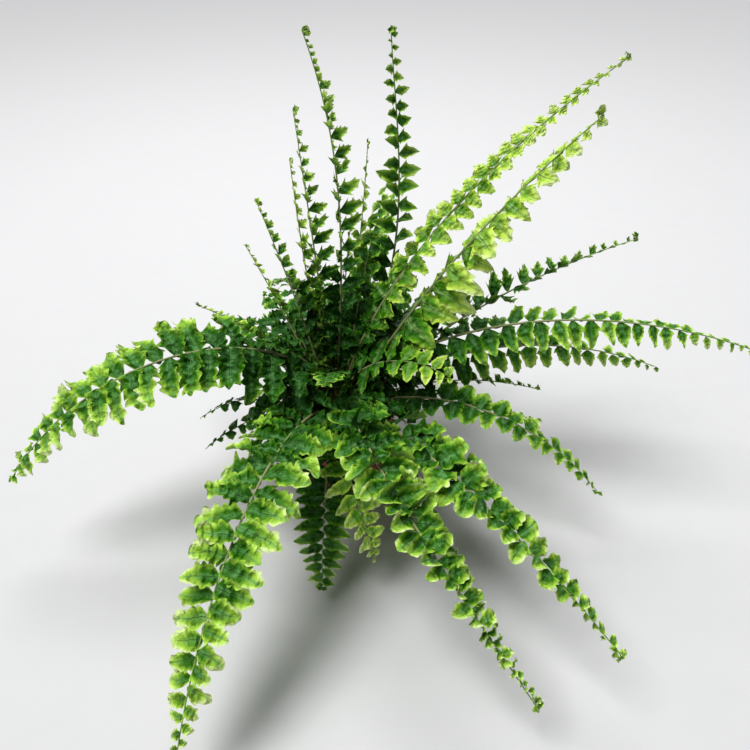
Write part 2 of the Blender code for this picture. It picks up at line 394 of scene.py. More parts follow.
def leaf_finish(name, tones):
    material, tree, shader, where = new_finish(name, 0.38)
    shader.inputs["Specular Tint"].default_value = LEAF_GLINT
    chart = split(tree, add(tree, "ShaderNodeUVMap", uv_map="leaf_map").outputs[0])
    along = chart[0]
    off_centre = maths(tree, "ABSOLUTE", maths(tree, "SUBTRACT", chart[1], 0.5))
    across = times(tree, off_centre, 2.0)
    patches = speckle(tree, where, PATCH_CELLS, 1.0)
    mottle = speckle(tree, where, MOTTLE_CELLS, 2.0, 0.6)
    puckers = speckle(tree, where, PUCKER_CELLS, 0.6, 0.5)
    from_heart = vectors(tree, "DISTANCE", where, HEART)
    # Painted shade: outward is 0 at the heart and 1 further out, and the green is darker
    # where it is low.
    outward = eased(tree, from_heart, -0.02, 0.16)
    noises = (patches, mottle, puckers)
    ripe_and_lit = ripeness(tree, along, across, from_heart, outward, noises, tones.ripeness)
    green = green_ramp(tree, ripe_and_lit, tones)

    from_notch = maths(tree, "PINGPONG", measured(tree, "lobe_phase"), 0.5)
    bulge = times(tree, eased(tree, from_notch, 0.5, 0.0), eased(tree, across, 1.0, 0.3))
    side_vein = times(
        tree, eased(tree, from_notch, 0.30, 0.48), eased(tree, across, 0.90, 0.2)
    )
    # Painted sheen: a broad pale band along the vein and, weaker, along the side veins,
    # brightest on the puckers and fainter near the heart. The thin vein line below is the
    # leaf's own pale vein.
    painted_sheen = maths(
        tree, "MAXIMUM", eased(tree, across, 0.50, 0.0), times(tree, side_vein, 0.24)
    )
    painted_sheen = times(tree, painted_sheen, eased(tree, puckers, 0.28, 0.70))
    painted_sheen = times(tree, painted_sheen, eased(tree, outward, 0.0, 1.0, 0.28, 0.75))
    line = times(tree, eased(tree, across, 0.07, 0.02), eased(tree, along, 1.0, 0.55))
    vein_and_painted_sheen = maths(tree, "MAXIMUM", painted_sheen, times(tree, line, 0.45))
    tint = blended(tree, vein_and_painted_sheen, green, colour(*tones.pale))

    below = measured(tree, "underside")
    back = blended(tree, 0.30, green, colour(*tones.lime))
    tint = blended(tree, times(tree, below, 0.65), tint, back)
    sheen = maths(tree, "MULTIPLY_ADD", mottle, 0.20, 0.26)
    coated(tree, shader, tint, maths(tree, "MULTIPLY_ADD", below, 0.18, sheen))

    relief = maths(tree, "MULTIPLY_ADD", bulge, 0.10, puckers)
    relief = maths(tree, "MULTIPLY_ADD", mottle, 0.20, relief)
    relief = maths(tree, "MULTIPLY_ADD", line, -0.25, relief)
    raised(tree, shader, relief, LEAF_RELIEF, 0.9)
    return material


LEAF_FINISHES = {name: leaf_finish(name, tones) for name, tones in LEAF_TONES.items()}
print("leaf finishes:", ", ".join(LEAF_FINISHES))

# %% [markdown]
# ## Midrib finish
# The stalk is tan-brown where it leaves the mound, a pale olive along most
# of the blade and leaf-green at the growing tip. Fine streaks run with it.
# Its small papery scales are a warm brown.

# %% Midrib and scale finishes
STALK_TAN = colour(0.085, 0.065, 0.022)
BLADE_OLIVE = colour(0.31, 0.34, 0.14)
GROWING_GREEN = colour(0.22, 0.42, 0.05)
STREAK_BROWN = colour(0.12, 0.09, 0.035)


def midrib_finish():
    material, tree, shader, where = new_finish("midrib_olive", 0.4)
    share = measured(tree, "frond_share")
    streaks = speckle(tree, where, 900.0, 2.0)
    base = blended(tree, eased(tree, share, 0.02, 0.30), STALK_TAN, BLADE_OLIVE)
    base = blended(tree, eased(tree, share, 0.45, 0.95), base, GROWING_GREEN)
    tint = blended(tree, times(tree, streaks, 0.40), base, STREAK_BROWN)
    coated(tree, shader, tint, 0.48)
    raised(tree, shader, streaks, 0.0003, 0.7)
    return material


def scale_finish():
    material, tree, shader, where = new_finish("scale_brown", 0.3)
    patches = speckle(tree, where, 400.0)
    tint = blended(tree, patches, colour(0.12, 0.055, 0.018), colour(0.34, 0.20, 0.075))
    coated(tree, shader, tint, 0.6)
    raised(tree, shader, patches, 0.0002, 0.6)
    return material


MIDRIB_FINISH = midrib_finish()
SCALE_FINISH = scale_finish()
print("finishes:", MIDRIB_FINISH.name, "and", SCALE_FINISH.name)

# %% [markdown]
# ## The fronds' table
# Each frond leaves the mound on one of three rings, climbs at its launch
# angle and bends over to its end angle while its heading turns. Lengths are
# in millimetres and angles in degrees. The first line of a row is the path
# and the second what grows on it: the pairs of leaflets and their kind, how
# far those on its left and right fold up from flat (down, if negative), how
# big the rolled bud at its tip is in millimetres, and how large its leaflets
# are for its room.

# %% Frond table
Frond = namedtuple(
    "Frond",
    "name ring root azimuth turn launch end bend length half_width lean_base lean_tip"
    " pairs kind fold_left fold_right bud size",
)
FRONDS = [Frond(*row) for row in (
    ("back_tall_left", 0, 120, 60, 105, 84, 70, 1.0, 266, 12, 20, 30,
     18, "cupped", 20, 20, 2.6, 1.2),
    ("back_mid_left", 1, 124, 117, 0, 78, 73, 1.0, 214, 12, 20, 20,
     15, "cupped", 20, 20, 2.2, 1.15),
    ("back_fine_left", 1, 142, 128, -10, 72, 80, 1.0, 182, 9, 20, 20,
     13, "cupped", 20, 20, 1.8, 1.0),
    ("back_thin_mid", 1, 78, 62, 20, 76, 66, 1.0, 190, 8, 20, 20,
     11, "young", 30, 30, 1.8, 1.0),
    ("back_tall_right", 0, 65, 24, 60, 56, 114, 1.0, 284, 11, 30, 30,
     19, "young", 15, 15, 1.2, 1.5),
    ("back_short_left", 1, 168, 150, 0, 74, 66, 1.0, 160, 12, 20, 20,
     11, "cupped", 10, 10, 1.6, 1.15),
    ("left_young_thin", 2, 150, 142, 0, 60, 50, 1.0, 130, 6, 0, 0,
     8, "young", 40, 40, 1.4, 1.0),
    ("back_curled_small", 1, 97, 78, 0, 74, 56, 1.5, 148, 7, 20, 20,
     10, "young", 30, 30, 1.4, 1.0),
    ("back_end_on", 1, 53, 64, 0, 66, 40, 1.5, 178, 13, 0, 0,
     16, "oblong", 10, 10, 1.0, 1.0),
    ("right_high_arch", 0, 325, 14, 0, 88, 32, 0.5, 322, 15, 0, 30,
     25, "serrate", 30, -4, 1.8, 0.8),
    ("right_bright_arch", 1, 350, -6, 0, 64, 46, 1.0, 276, 26, 20, 45,
     15, "serrate", -35, -5, 2.2, 1.04),
    ("right_rising_dark", 2, 18, 10, 0, 44, 14, 1.0, 244, 16, 0, 20,
     17, "cupped", -10, 15, 1.8, 1.0),
    ("right_long", 1, 325, -7, 0, 66, -18, 0.6, 314, 20, 10, 25,
     26, "oblong", -18, -22, 0.0, 1.2),
    ("right_under_long", 2, 0, 0, 0, 46, -24, 0.8, 244, 18, 0, 10,
     19, "oblong", -10, -30, 0.0, 1.2),
    ("right_drooping", 2, 324, -21, 0, 34, -52, 1.0, 212, 17, 20, 20,
     14, "oblong", 10, 10, 1.6, 0.85),
    ("right_small_upper", 2, 346, -3, 0, 30, -16, 1.0, 142, 9, 0, 0,
     11, "young", 10, 10, 1.2, 1.0),
    ("right_small_lower", 2, 334, -13, 0, 20, -14, 1.0, 142, 8, 0, 0,
     11, "young", 10, 10, 1.2, 1.0),
    ("right_curly_small", 2, 312, -40, 0, 38, -44, 1.0, 92, 9, 0, 0,
     8, "young", 20, 20, 1.4, 1.0),
    ("right_inner_dark", 1, 15, 38, 0, 62, -30, 1.0, 125, 14, 0, 0,
     10, "lobed", 5, 5, 0.0, 1.6),
    ("left_long", 1, 190, -158, 0, 88, -55, 0.6, 290, 34, -20, -30,
     21, "lobed", 8, -14, 0.0, 1.05),
    ("left_young_mid", 2, 170, 168, 0, 58, 16, 1.0, 122, 6, 0, 0,
     9, "young", 30, 30, 1.4, 1.0),
    ("left_small_upper", 2, 205, -172, 0, 30, -34, 1.0, 98, 11, 0, 0,
     9, "oblong", 5, 5, 0.0, 1.0),
    ("left_small_lower", 2, 219, -156, 0, 22, -34, 1.0, 98, 11, 0, 0,
     9, "oblong", 5, 5, 0.0, 1.0),
    ("left_inner_back", 2, 187, 182, 0, 54, 0, 1.0, 108, 14, 0, 0,
     8, "lobed", 5, 5, 0.0, 1.7),
    ("left_inner_front", 1, 226, -134, 0, 60, -44, 1.0, 94, 15, 0, 0,
     8, "lobed", 5, 5, 0.0, 1.5),
    ("front_left_long", 2, 248, -108, 4, 40, -54, 0.9, 298, 36, 0, 0,
     22, "lobed", 10, 12, 0.0, 0.82),
    ("front_short_dark", 2, 265, -94, 0, 30, -78, 0.8, 155, 20, 0, 0,
     14, "toothed", 4, 4, 1.0, 1.35),
    ("front_short_bright", 1, 264, -91, 46, 42, -72, 0.8, 152, 17, 0, 0,
     13, "toothed", 6, 6, 0.0, 1.5),
    ("front_right_long", 2, 282, -82, 53, 46, -54, 0.8, 300, 28, 0, 0,
     30, "frilled", 22, 22, 1.2, 0.88),
    ("front_right_far", 2, 300, -59, 20, 29, -37, 0.9, 280, 23, 0, 20,
     20, "frilled", 22, 22, 1.0, 1.05),
    ("front_small_behind", 2, 291, -58, 0, 14, -48, 1.0, 180, 7, 0, 0,
     16, "oblong", 0, 0, 0.0, 1.0),
    ("centre_right_bright", 1, 290, -26, 0, 88, -22, 0.9, 116, 11, 0, 0,
     9, "toothed", 28, -4, 0.0, 2.5),
    ("centre_front_pale", 1, 244, -91, 0, 76, 10, 1.0, 105, 13, 0, 0,
     10, "toothed", 6, 6, 0.0, 1.35),
    ("centre_back_toothed", 0, 20, 54, 0, 80, 62, 1.0, 165, 10, 0, 0,
     11, "toothed", 10, 10, 0.0, 1.6),
    ("centre_front_low", 2, 235, -128, 0, 42, -56, 1.0, 105, 14, 0, 0,
     9, "lobed", 0, 0, 0.0, 1.45),
    ("inner_front_right", 1, 310, -66, 0, 58, 0, 1.0, 84, 12, 0, 0,
     8, "frilled", 0, 0, 0.0, 1.5),
    ("inner_left", 0, 200, -160, 0, 74, 20, 1.0, 92, 9, 0, 0,
     8, "lobed", 10, 10, 0.0, 1.9),
    ("inner_back_left", 2, 141, 128, 0, 57, 6, 1.0, 104, 10, 0, 0,
     9, "lobed", 5, 5, 0.0, 1.8),
    ("inner_back", 2, 98, 100, 0, 56, 6, 1.0, 104, 10, 0, 0,
     9, "lobed", 5, 5, 0.0, 1.8),
    ("inner_back_right", 2, 58, 58, 0, 52, 6, 1.0, 110, 10, 0, 0,
     9, "lobed", 5, 5, 0.0, 1.8),
    ("rear_right_low", 2, 48, 48, 0, 40, -46, 1.0, 185, 17, 0, 0,
     12, "oblong", 0, 0, 0.0, 1.0),
    ("rear_mid_right", 2, 68, 70, 0, 46, -44, 1.0, 200, 17, 0, 0,
     12, "lobed", 0, 0, 0.0, 1.0),
    ("rear_mid", 2, 88, 92, 0, 40, -50, 1.0, 195, 17, 0, 0,
     12, "lobed", 0, 0, 0.0, 1.0),
    ("rear_mid_left", 2, 110, 112, 0, 46, -44, 1.0, 195, 17, 0, 0,
     12, "oblong", 0, 0, 0.0, 1.0),
    ("rear_left_low", 2, 130, 134, 0, 38, -46, 1.0, 165, 17, 0, 0,
     11, "lobed", 0, 0, 0.0, 1.0),
)]
print("fronds:", len(FRONDS), "leaflets:", sum(2 * frond.pairs for frond in FRONDS))

# %% [markdown]
# How the leaflets sit depends on their kind: the broad lobed ones nearly
# touch their neighbours, the cupped ones on rising fronds are folded up and
# turned edge-on, and the young ones are small and far apart. The fullness is
# a leaflet's width as a share of the room between it and the next one on its
# side, the reach its length as a share of the frond's half width, and the
# narrowing says how soon the frond tapers. The angles are in degrees. The
# lift raises the leaflets over the midrib, in midrib radii.

# %% Leaflet habits
Habit = namedtuple(
    "Habit",
    "fullness reach narrowing sweep_base sweep_tip roll chance uneven least lift",
)
HABITS = {
    "lobed": Habit(1.52, 1.20, 0.58, 0, 20, 0, 9, 0.0040, 0.15, -0.4),
    "frilled": Habit(1.70, 1.12, 0.80, 2, 22, 8, 26, 0.0065, 0.18, 0.7),
    "toothed": Habit(1.30, 1.10, 0.42, 0, 22, 0, 9, 0.0035, 0.16, 0.2),
    "serrate": Habit(1.32, 1.30, 0.66, 4, 24, 0, 12, 0.0040, 0.20, 0.4),
    "oblong": Habit(1.20, 1.20, 0.62, 2, 24, 0, 14, 0.0045, 0.18, 0.0),
    "cupped": Habit(0.92, 1.50, 0.78, 6, 20, 30, 16, 0.0035, 0.17, 0.0),
    "young": Habit(0.86, 1.45, 0.66, 4, 18, 35, 22, 0.0025, 0.20, 0.0),
}
print("kinds of leaflet:", ", ".join(HABITS))

# %% [markdown]
# ## The fronds' paths
# A path is walked in sixty short steps from the top of the mound. The same
# rule made the solids, so the leaves stay inside them. A frond that would
# pass under the table lies along it instead, and the tip of a growing frond
# winds up in a small closing spiral.

# %% Frond paths
MM = 0.001
ROOTSTOCK_RADIUS, ROOTSTOCK_HEIGHT, ROOTSTOCK_CENTRE = 0.018, 0.0085, 0.0719
RING_RADII = (0.0045, 0.0095, 0.0148)
ROOT_LIFT = 0.0019
SURFACE_CLEARANCE = 0.004
ARC_STEPS = 60
TURN_LATE = 1.5


def rootstock_height(radius):
    share = min(radius / ROOTSTOCK_RADIUS, 1.0)
    return ROOTSTOCK_CENTRE + ROOTSTOCK_HEIGHT * sqrt(1.0 - share * share)


def frond_arc(frond):
    """The midrib's points, and the direction across the blade at each."""
    radius = RING_RADII[frond.ring]
    root = radians(frond.root)
    height = rootstock_height(radius) + ROOT_LIFT
    place = Vector((radius * cos(root), radius * sin(root), height))
    step = frond.length * MM / ARC_STEPS
    places, sides = [], []
    for index in range(ARC_STEPS + 1):
        share = index / ARC_STEPS
        rise = radians(frond.launch + (frond.end - frond.launch) * share**frond.bend)
        heading = radians(frond.azimuth + frond.turn * share**TURN_LATE)
        ahead = Vector((cos(rise) * cos(heading), cos(rise) * sin(heading), sin(rise)))
        if ahead.z < 0.0 and place.z + ahead.z * step < SURFACE_CLEARANCE:
            ahead = Vector((cos(heading), sin(heading), 0.0))
        level = Vector((-sin(heading), cos(heading), 0.0))
        lean = radians(frond.lean_base + (frond.lean_tip - frond.lean_base) * share)
        sides.append(level * cos(lean) + ahead.cross(level) * sin(lean))
        places.append(place.copy())
        place = place + ahead * step
    return places, sides


longest = max(FRONDS, key=lambda frond: frond.length)
print("longest frond:", longest.name, longest.length, "mm")

# %% Rolled tips
BUD_STEPS = 18
BUD_TURN = radians(27.0)
BUD_CLOSING = 0.62
BUD_MEAN_SIZE = 0.69


def bud_roll(places, sides, radius):
    """The rolled tip of a growing frond: the path winds up over itself in a
    closing spiral, away from the blade's underside."""
    ahead = (places[-1] - places[-2]).normalized()
    side = sides[-1]
    up = ahead.cross(side).normalized()
    place, angle = places[-1].copy(), 0.0
    extra = []
    for index in range(BUD_STEPS):
        size = radius * (1.0 - BUD_CLOSING * index / BUD_STEPS)
        angle += BUD_TURN
        place = place + (ahead * cos(angle) + up * sin(angle)) * size * BUD_TURN
        extra.append(place.copy())
    return places + extra, sides + [side] * BUD_STEPS


print("rolled tips:", sum(1 for frond in FRONDS if frond.bud))

# %% Midrib lines
LEAF_START = 0.075
FILLING_OUT = 0.12
TAPERING = 0.60


def leaf_reach(share, narrowing):
    """How far the leaflets reach at this share of the midrib, from 0 to 1."""
    grown = min(max((share - LEAF_START) / FILLING_OUT, 0.0), 1.0)
    return grown**0.5 * min((1.0 - share) / TAPERING, 1.0) ** narrowing


def carry(mesh, name, kind, domain, values):
    """Stores one value for each point, edge or face of the mesh."""
    key = "vector" if kind == "FLOAT_VECTOR" else "value"
    mesh.attributes.new(name, kind, domain).data.foreach_set(key, values)


def midrib_line(frond):
    """A chain of edges that carries, at each point, the share of the length,
    the direction across the blade and the leaflets' reach."""
    places, sides = frond_arc(frond)
    shares = [index / ARC_STEPS for index in range(ARC_STEPS + 1)]
    if frond.bud:
        places, sides = bud_roll(places, sides, frond.bud * MM)
        shares += [1.0] * BUD_STEPS
    narrowing = HABITS[frond.kind].narrowing
    mesh = bpy.data.meshes.new("midrib_line")
    mesh.from_pydata(places, [(i, i + 1) for i in range(len(places) - 1)], [])
    carry(mesh, "frond_share", "FLOAT", "POINT", shares)
    carry(mesh, "reach", "FLOAT", "POINT", [leaf_reach(x, narrowing) for x in shares])
    carry(mesh, "side", "FLOAT_VECTOR", "POINT", [x for side in sides for x in side])
    return mesh


print("points on a midrib:", ARC_STEPS + 1, "and", BUD_STEPS, "more in a rolled tip")

# %% [markdown]
# ## Leaflets
# A leaflet is a thin closed blade with lobes or teeth down both edges. It
# could be cut from a flat sheet, but the ruffled ones of this fern pucker
# between their side veins and curl at every lobe, so each is built row by
# row: margin, shoulder, vein, shoulder and margin on top, and shoulder, vein
# and shoulder again underneath, a blade's thickness lower. A tooth takes two
# rows, one in the notch and one at its point. A blunt lobe takes three, one
# in the notch and one at either corner of its end. The blade stands high in
# line with the notches and low along the side veins. One round of Subdivision
# Surface then rounds it. The outline is creased and marked sharp, so that the
# blade stays thin at its edge and its upper side shades as a leaf and not as
# a cushion.

# %% Leaflet kinds
LeafletKind = namedtuple(
    "LeafletKind",
    "lobes blunt depth slant hook taper pucker ruffle curl droop cup waist point ear count",
)
KINDS = {
    "lobed": LeafletKind(
        6, True, 0.58, 0.26, 0.010, 4.4, 0.080, 0.10, 0.26, 0.30, 0.08, 0.14, 0.0, 0.95, 24
    ),
    "frilled": LeafletKind(
        5, False, 0.42, 0.28, 0.04, 3.0, 0.085, 0.16, 0.46, 0.26, 0.10, 0.22, 0.1, 1.0, 20
    ),
    "toothed": LeafletKind(
        6, False, 0.30, 0.24, 0.04, 1.7, 0.070, 0.06, 0.12, 0.16, 0.02, 0.30, 0.4, 1.1, 14
    ),
    "serrate": LeafletKind(
        5, False, 0.32, 0.36, 0.05, 1.5, 0.060, 0.10, 0.22, 0.34, 0.04, 0.30, 0.3, 1.5, 14
    ),
    "oblong": LeafletKind(
        5, False, 0.24, 0.30, 0.04, 1.6, 0.050, 0.08, 0.16, 0.28, 0.06, 0.24, 0.3, 1.3, 14
    ),
    "cupped": LeafletKind(
        4, False, 0.46, 0.50, 0.08, 1.3, 0.060, 0.12, 0.26, -0.45, 0.20, 0.22, 0.8, 1.4, 14
    ),
    "young": LeafletKind(
        3, False, 0.22, 0.30, 0.05, 1.5, 0.040, 0.08, 0.12, -0.40, 0.30, 0.24, 0.8, 1.3, 10
    ),
}
print("leaflet shapes in all:", sum(kind.count for kind in KINDS.values()))

# %% Rows of a leaflet
NECK = 0.14
END_LOBE = 0.80
HALF_WIDTH = 0.54
# Within a lobe: where the row stands, how full it is, how far it hooks ahead.
NOTCH = (0.0, 0.0, 0.0)
BLUNT_LOBE = (NOTCH, (0.34, 0.96, 0.2), (0.74, 1.02, 0.9))
TOOTH = (NOTCH, (0.60, 1.0, 1.0))
BLUNT_END, POINTED_END = (NOTCH, (0.50, 0.95, 0.4)), (NOTCH,)


def lobe_stops(kind, at_end):
    if at_end:
        return BLUNT_END if kind.blunt else POINTED_END
    return BLUNT_LOBE if kind.blunt else TOOTH


def leaflet_rows(kind, rand):
    """For each row: its place along, its place within its lobe, how far the
    shoulders swell, and the width, shift towards the tip and lift of both
    margins."""
    whole = kind.lobes + END_LOBE
    made = []
    for lobe in range(kind.lobes + 1):
        ends = lobe == kind.lobes
        curls = [
            kind.curl * rand.uniform(0.15, 1.0) * (1.0 if rand.random() < 0.6 else -0.8)
            for _ in (0, 1)
        ]
        ear = kind.ear if lobe == 0 else 1.0
        sizes = [rand.uniform(0.84, 1.12) * ear for _ in (0, 1)]
        deep = 1.0 - kind.depth * (0.6 if ends else 1.0)
        for stop, full, lead in lobe_stops(kind, ends):
            share = (lobe + stop) / whole
            opened = min(share / NECK, 1.0)
            envelope = opened**0.6 * max(1.0 - share**kind.taper, 0.0) ** 0.7
            waist = kind.waist * 0.5 * (1.0 - share) ** 0.5
            margins, swells = [], []
            for hand in (0, 1):
                width = HALF_WIDTH * envelope * (sizes[hand] * full if full else deep)
                width = max(width * rand.uniform(0.92, 1.08), waist)
                ahead = kind.slant * width * (1.0 - 0.5 * share)
                ahead += kind.hook * lead * rand.uniform(0.5, 1.5)
                if full:
                    lift = curls[hand] * full * (0.8 + 0.4 * stop)
                else:
                    lift = kind.ruffle * rand.uniform(-0.3, 1.0)
                margins.append((width, ahead, (lift + kind.cup * envelope) * opened))
                swell = rand.uniform(-0.6, 0.5) if full else rand.uniform(0.5, 1.4)
                swells.append(kind.pucker * swell * opened)
            made.append((share, lobe + stop, swells, margins))
    return made


print("rows of a lobed leaflet:", len(leaflet_rows(KINDS["lobed"], random.Random(0))))

# %% Rounding a leaflet
RING_TOP, RING_ALL = 5, 8


def evaluated_mesh(helper, name):
    """A plain mesh from an object with modifiers, which is then removed."""
    bpy.context.view_layer.update()
    graph = bpy.context.evaluated_depsgraph_get()
    mesh = bpy.data.meshes.new_from_object(
        helper.evaluated_get(graph), preserve_all_data_layers=True, depsgraph=graph
    )
    mesh.name = name
    bpy.data.objects.remove(helper)
    return mesh


def outline_and_teeth(rows, tip, blunt):
    """The edges that run round the blade, and the points of its teeth."""
    margins = (0, RING_TOP - 1)
    outline = {frozenset((rows[-1][side], tip)) for side in margins}
    for near, far in zip(rows, rows[1:]):
        outline |= {frozenset((near[side], far[side])) for side in margins}
    step = 3 if blunt else 2
    teeth = {row[side] for row in rows[step - 1 :: step] for side in margins} | {tip}
    return outline, teeth


def rounded_off(mesh, outline, teeth, point):
    """The mesh after one round of subdivision that keeps its outline sharp."""
    on_outline = [frozenset(edge.vertices) in outline for edge in mesh.edges]
    pointed = [point if v.index in teeth else 0.0 for v in mesh.vertices]
    carry(mesh, "sharp_edge", "BOOLEAN", "EDGE", on_outline)
    carry(mesh, "crease_edge", "FLOAT", "EDGE", [float(x) for x in on_outline])
    carry(mesh, "crease_vert", "FLOAT", "POINT", pointed)
    helper = placed("rounding", mesh)
    rounding = helper.modifiers.new("rounding", "SUBSURF")
    rounding.levels = rounding.render_levels = 1
    smooth = evaluated_mesh(helper, mesh.name)
    bpy.data.meshes.remove(mesh)
    return smooth


print("points round a leaflet's section:", RING_ALL)

# %% Leaflet mesh
LEAF_THICKNESS = 0.014
SHOULDER = 0.48
SHOULDER_LIFT = 0.22
UNDER_SHOULDER = 0.4
WAVES = 7.0


def leaflet_bend(rand):
    """Droop, twist, sway and wave of one leaflet, as a rule for its points."""
    twist_limit, sway_limit = 0.4, 0.16
    droop_share = rand.uniform(0.2, 1.8)
    twist = rand.uniform(-twist_limit, twist_limit)
    sway = rand.uniform(-sway_limit, sway_limit)
    wave, start = rand.uniform(0.0, 0.05), rand.uniform(0.0, 2.0 * pi)

    def bent(x, y, z, droop):
        turn = twist * x
        y, z = y * cos(turn) - z * sin(turn), y * sin(turn) + z * cos(turn)
        bend = wave * x * sin(WAVES * x + start)
        return x, y + sway * x * x, z - droop * droop_share * x * x + bend

    return bent


def ring_of_row(share, swells, margins):
    """The eight points of one row, each with how far across the blade it is."""
    (wide_l, ahead_l, lift_l), (wide_r, ahead_r, lift_r) = margins
    left = (share + ahead_l * SHOULDER, -wide_l * SHOULDER)
    right = (share + ahead_r * SHOULDER, wide_r * SHOULDER)
    swell_l = lift_l * SHOULDER_LIFT + swells[0]
    swell_r = lift_r * SHOULDER_LIFT + swells[1]
    return (
        (share + ahead_l, -wide_l, lift_l, -1.0),
        (*left, swell_l + LEAF_THICKNESS, -SHOULDER),
        (share, 0.0, 0.0, 0.0),
        (*right, swell_r + LEAF_THICKNESS, SHOULDER),
        (share + ahead_r, wide_r, lift_r, 1.0),
        (*right, swell_r - UNDER_SHOULDER * LEAF_THICKNESS, SHOULDER),
        (share, 0.0, -LEAF_THICKNESS, 0.0),
        (*left, swell_l - UNDER_SHOULDER * LEAF_THICKNESS, -SHOULDER),
    )


def leaflet_faces(rows, tip):
    faces = []
    for column in range(RING_ALL):
        after = (column + 1) % RING_ALL
        for near, far in zip(rows, rows[1:]):
            faces.append((near[column], far[column], far[after], near[after]))
        faces.append((rows[-1][column], tip, rows[-1][after]))
    return faces + [rows[0]]


def leaflet_mesh(name, kind, seed):
    rand = random.Random(seed)
    points, uvs, phases = [], [], []
    bent = leaflet_bend(rand)

    def put(x, y, z, across, phase):
        points.append(bent(x, y, z, kind.droop))
        uvs.append((x, 0.5 + 0.5 * across))
        phases.append(phase)
        return len(points) - 1

    rows = [
        tuple(put(*corner, phase) for corner in ring_of_row(share, swells, margins))
        for share, phase, swells, margins in leaflet_rows(kind, rand)
    ]
    tip = put(1.0, 0.0, 0.0, 0.0, kind.lobes + END_LOBE)
    faces = leaflet_faces(rows, tip)
    below = {corner for row in rows for corner in row[RING_TOP:]}

    mesh = bpy.data.meshes.new(name)
    mesh.from_pydata(points, [], faces)
    mesh.polygons.foreach_set("use_smooth", [True] * len(faces))
    under = [1.0 if below & set(face) else 0.0 for face in faces]
    carry(mesh, "underside", "FLOAT", "FACE", under)
    carry(mesh, "lobe_phase", "FLOAT", "POINT", phases)
    chart = mesh.uv_layers.new(name="leaf_map")
    for loop in mesh.loops:
        chart.data[loop.index].uv = uvs[loop.vertex_index]
    outline, teeth = outline_and_teeth(rows, tip, kind.blunt)
    return rounded_off(mesh, outline, teeth, kind.point)


print("blade thickness:", LEAF_THICKNESS, "of the leaflet's mean of length and width")

# %% [markdown]
# Many seeds of each kind are made, so that no shape comes up often and
# neighbours differ. They run from simple, with few shallow lobes, to fully
# lobed: a frond's youngest leaflets, at its tip, take the simple ones.

# %% Leaflet sets
LOBES_AT_FIRST, LOBES_GAINED = 0.50, 0.65
DEPTH_AT_FIRST, DEPTH_GAINED = 0.42, 0.66


def leaflet_set(name, kind):
    """The variants of one kind, in a collection that no scene shows."""
    collection = bpy.data.collections.new(name + "_leaflets")
    for index in range(kind.count):
        title = f"{name}_{index:02d}"
        grown = (index + 0.5) / kind.count
        lobes = max(2, round(kind.lobes * (LOBES_AT_FIRST + LOBES_GAINED * grown)))
        depth = kind.depth * (DEPTH_AT_FIRST + DEPTH_GAINED * grown)
        shape = kind._replace(lobes=lobes, depth=depth)
        mesh = leaflet_mesh(title, shape, f"{name} {index}")
        collection.objects.link(bpy.data.objects.new(title, mesh))
    print(name, "leaflets:", kind.count, "of at most", len(mesh.polygons), "faces")
    return collection


LEAFLETS = {name: leaflet_set(name, kind) for name, kind in KINDS.items()}

# %% [markdown]
# ## Midrib scales
# Stalk and midrib carry tiny papery scales, thickest near the mound. One
# pointed chip of a few faces is enough, planted at random round the stalk.


# %% Scale chip
def scale_mesh():
    points = [
        (0.0, -0.16, 0.0),
        (0.0, 0.16, 0.0),
        (0.5, 0.10, 0.10),
        (0.5, -0.10, 0.10),
        (1.0, 0.0, 0.02),
        (0.0, 0.0, 0.10),
        (0.5, 0.0, 0.20),
    ]
    under = [(0, 3, 2, 1), (3, 4, 2)]
    over = [(0, 5, 6, 3), (5, 1, 2, 6), (3, 6, 4), (6, 2, 4)]
    mesh = bpy.data.meshes.new("scale_chip")
    mesh.from_pydata(points, [], under + over + [(0, 1, 5)])
    return mesh


SCALE_CHIP = bpy.data.objects.new("scale_chip", scale_mesh())
print("scale chip:", len(SCALE_CHIP.data.polygons), "faces")

# %% [markdown]
# ## Makers
# A maker is a Geometry Nodes tree with named inputs. It works as a modifier
# on a helper object, and what it makes is kept as a plain mesh. Two are
# built: one grows a frond and one scatters crumbs and fibres. Chance comes
# from Random Value nodes, and each use has its own fixed draw, so the plant
# comes out the same every time.

# %% Makers and chance
DRAWS = {
    "sweep": 0,
    "fold": 1,
    "roll": 2,
    "piece shape": 3,
    "piece size": 5,
    "leaflet length": 11,
    "leaflet width": 12,
    "leaflet age": 13,
    "leaflet tone": 14,
    "scale turn": 21,
    "scale lean": 22,
    "scale size": 23,
}


def new_maker(name, inputs, result):
    """An empty tree, the identifiers of its inputs, and its input sockets."""
    tree = bpy.data.node_groups.new(name, "GeometryNodeTree")
    tree.is_modifier = True
    face, ids = tree.interface, {}
    for title, kind in inputs:
        socket = face.new_socket(
            name=title, in_out="INPUT", socket_type="NodeSocket" + kind
        )
        ids[title] = socket.identifier
    face.new_socket(name=result, in_out="OUTPUT", socket_type="NodeSocketGeometry")
    start = tree.nodes.new("NodeGroupInput")
    return tree, ids, {socket.name: socket for socket in start.outputs if socket.name}


def give_back(tree, geometry):
    """Ends the tree with this geometry."""
    end = tree.nodes.new("NodeGroupOutput")
    tree.links.new(geometry, end.inputs[0])


def made_by(maker, mesh, values, name):
    """What the maker makes of the mesh, as a plain mesh."""
    tree, ids = maker
    helper = placed("making", mesh)
    modifier = helper.modifiers.new(tree.name, "NODES")
    modifier.node_group = tree
    for title, value in values.items():
        modifier[ids[title]] = value
    return evaluated_mesh(helper, name)


def seed_for(tree, seed, draw):
    return maths(tree, "ADD", seed, float(DRAWS[draw]))


def chance(tree, low, high, seed, draw):
    """A different random number between low and high for each point."""
    inputs = {2: low, 3: high, 8: seed_for(tree, seed, draw)}
    return add(tree, "FunctionNodeRandomValue", inputs, data_type="FLOAT").outputs[1]


print("draws:", len(DRAWS))


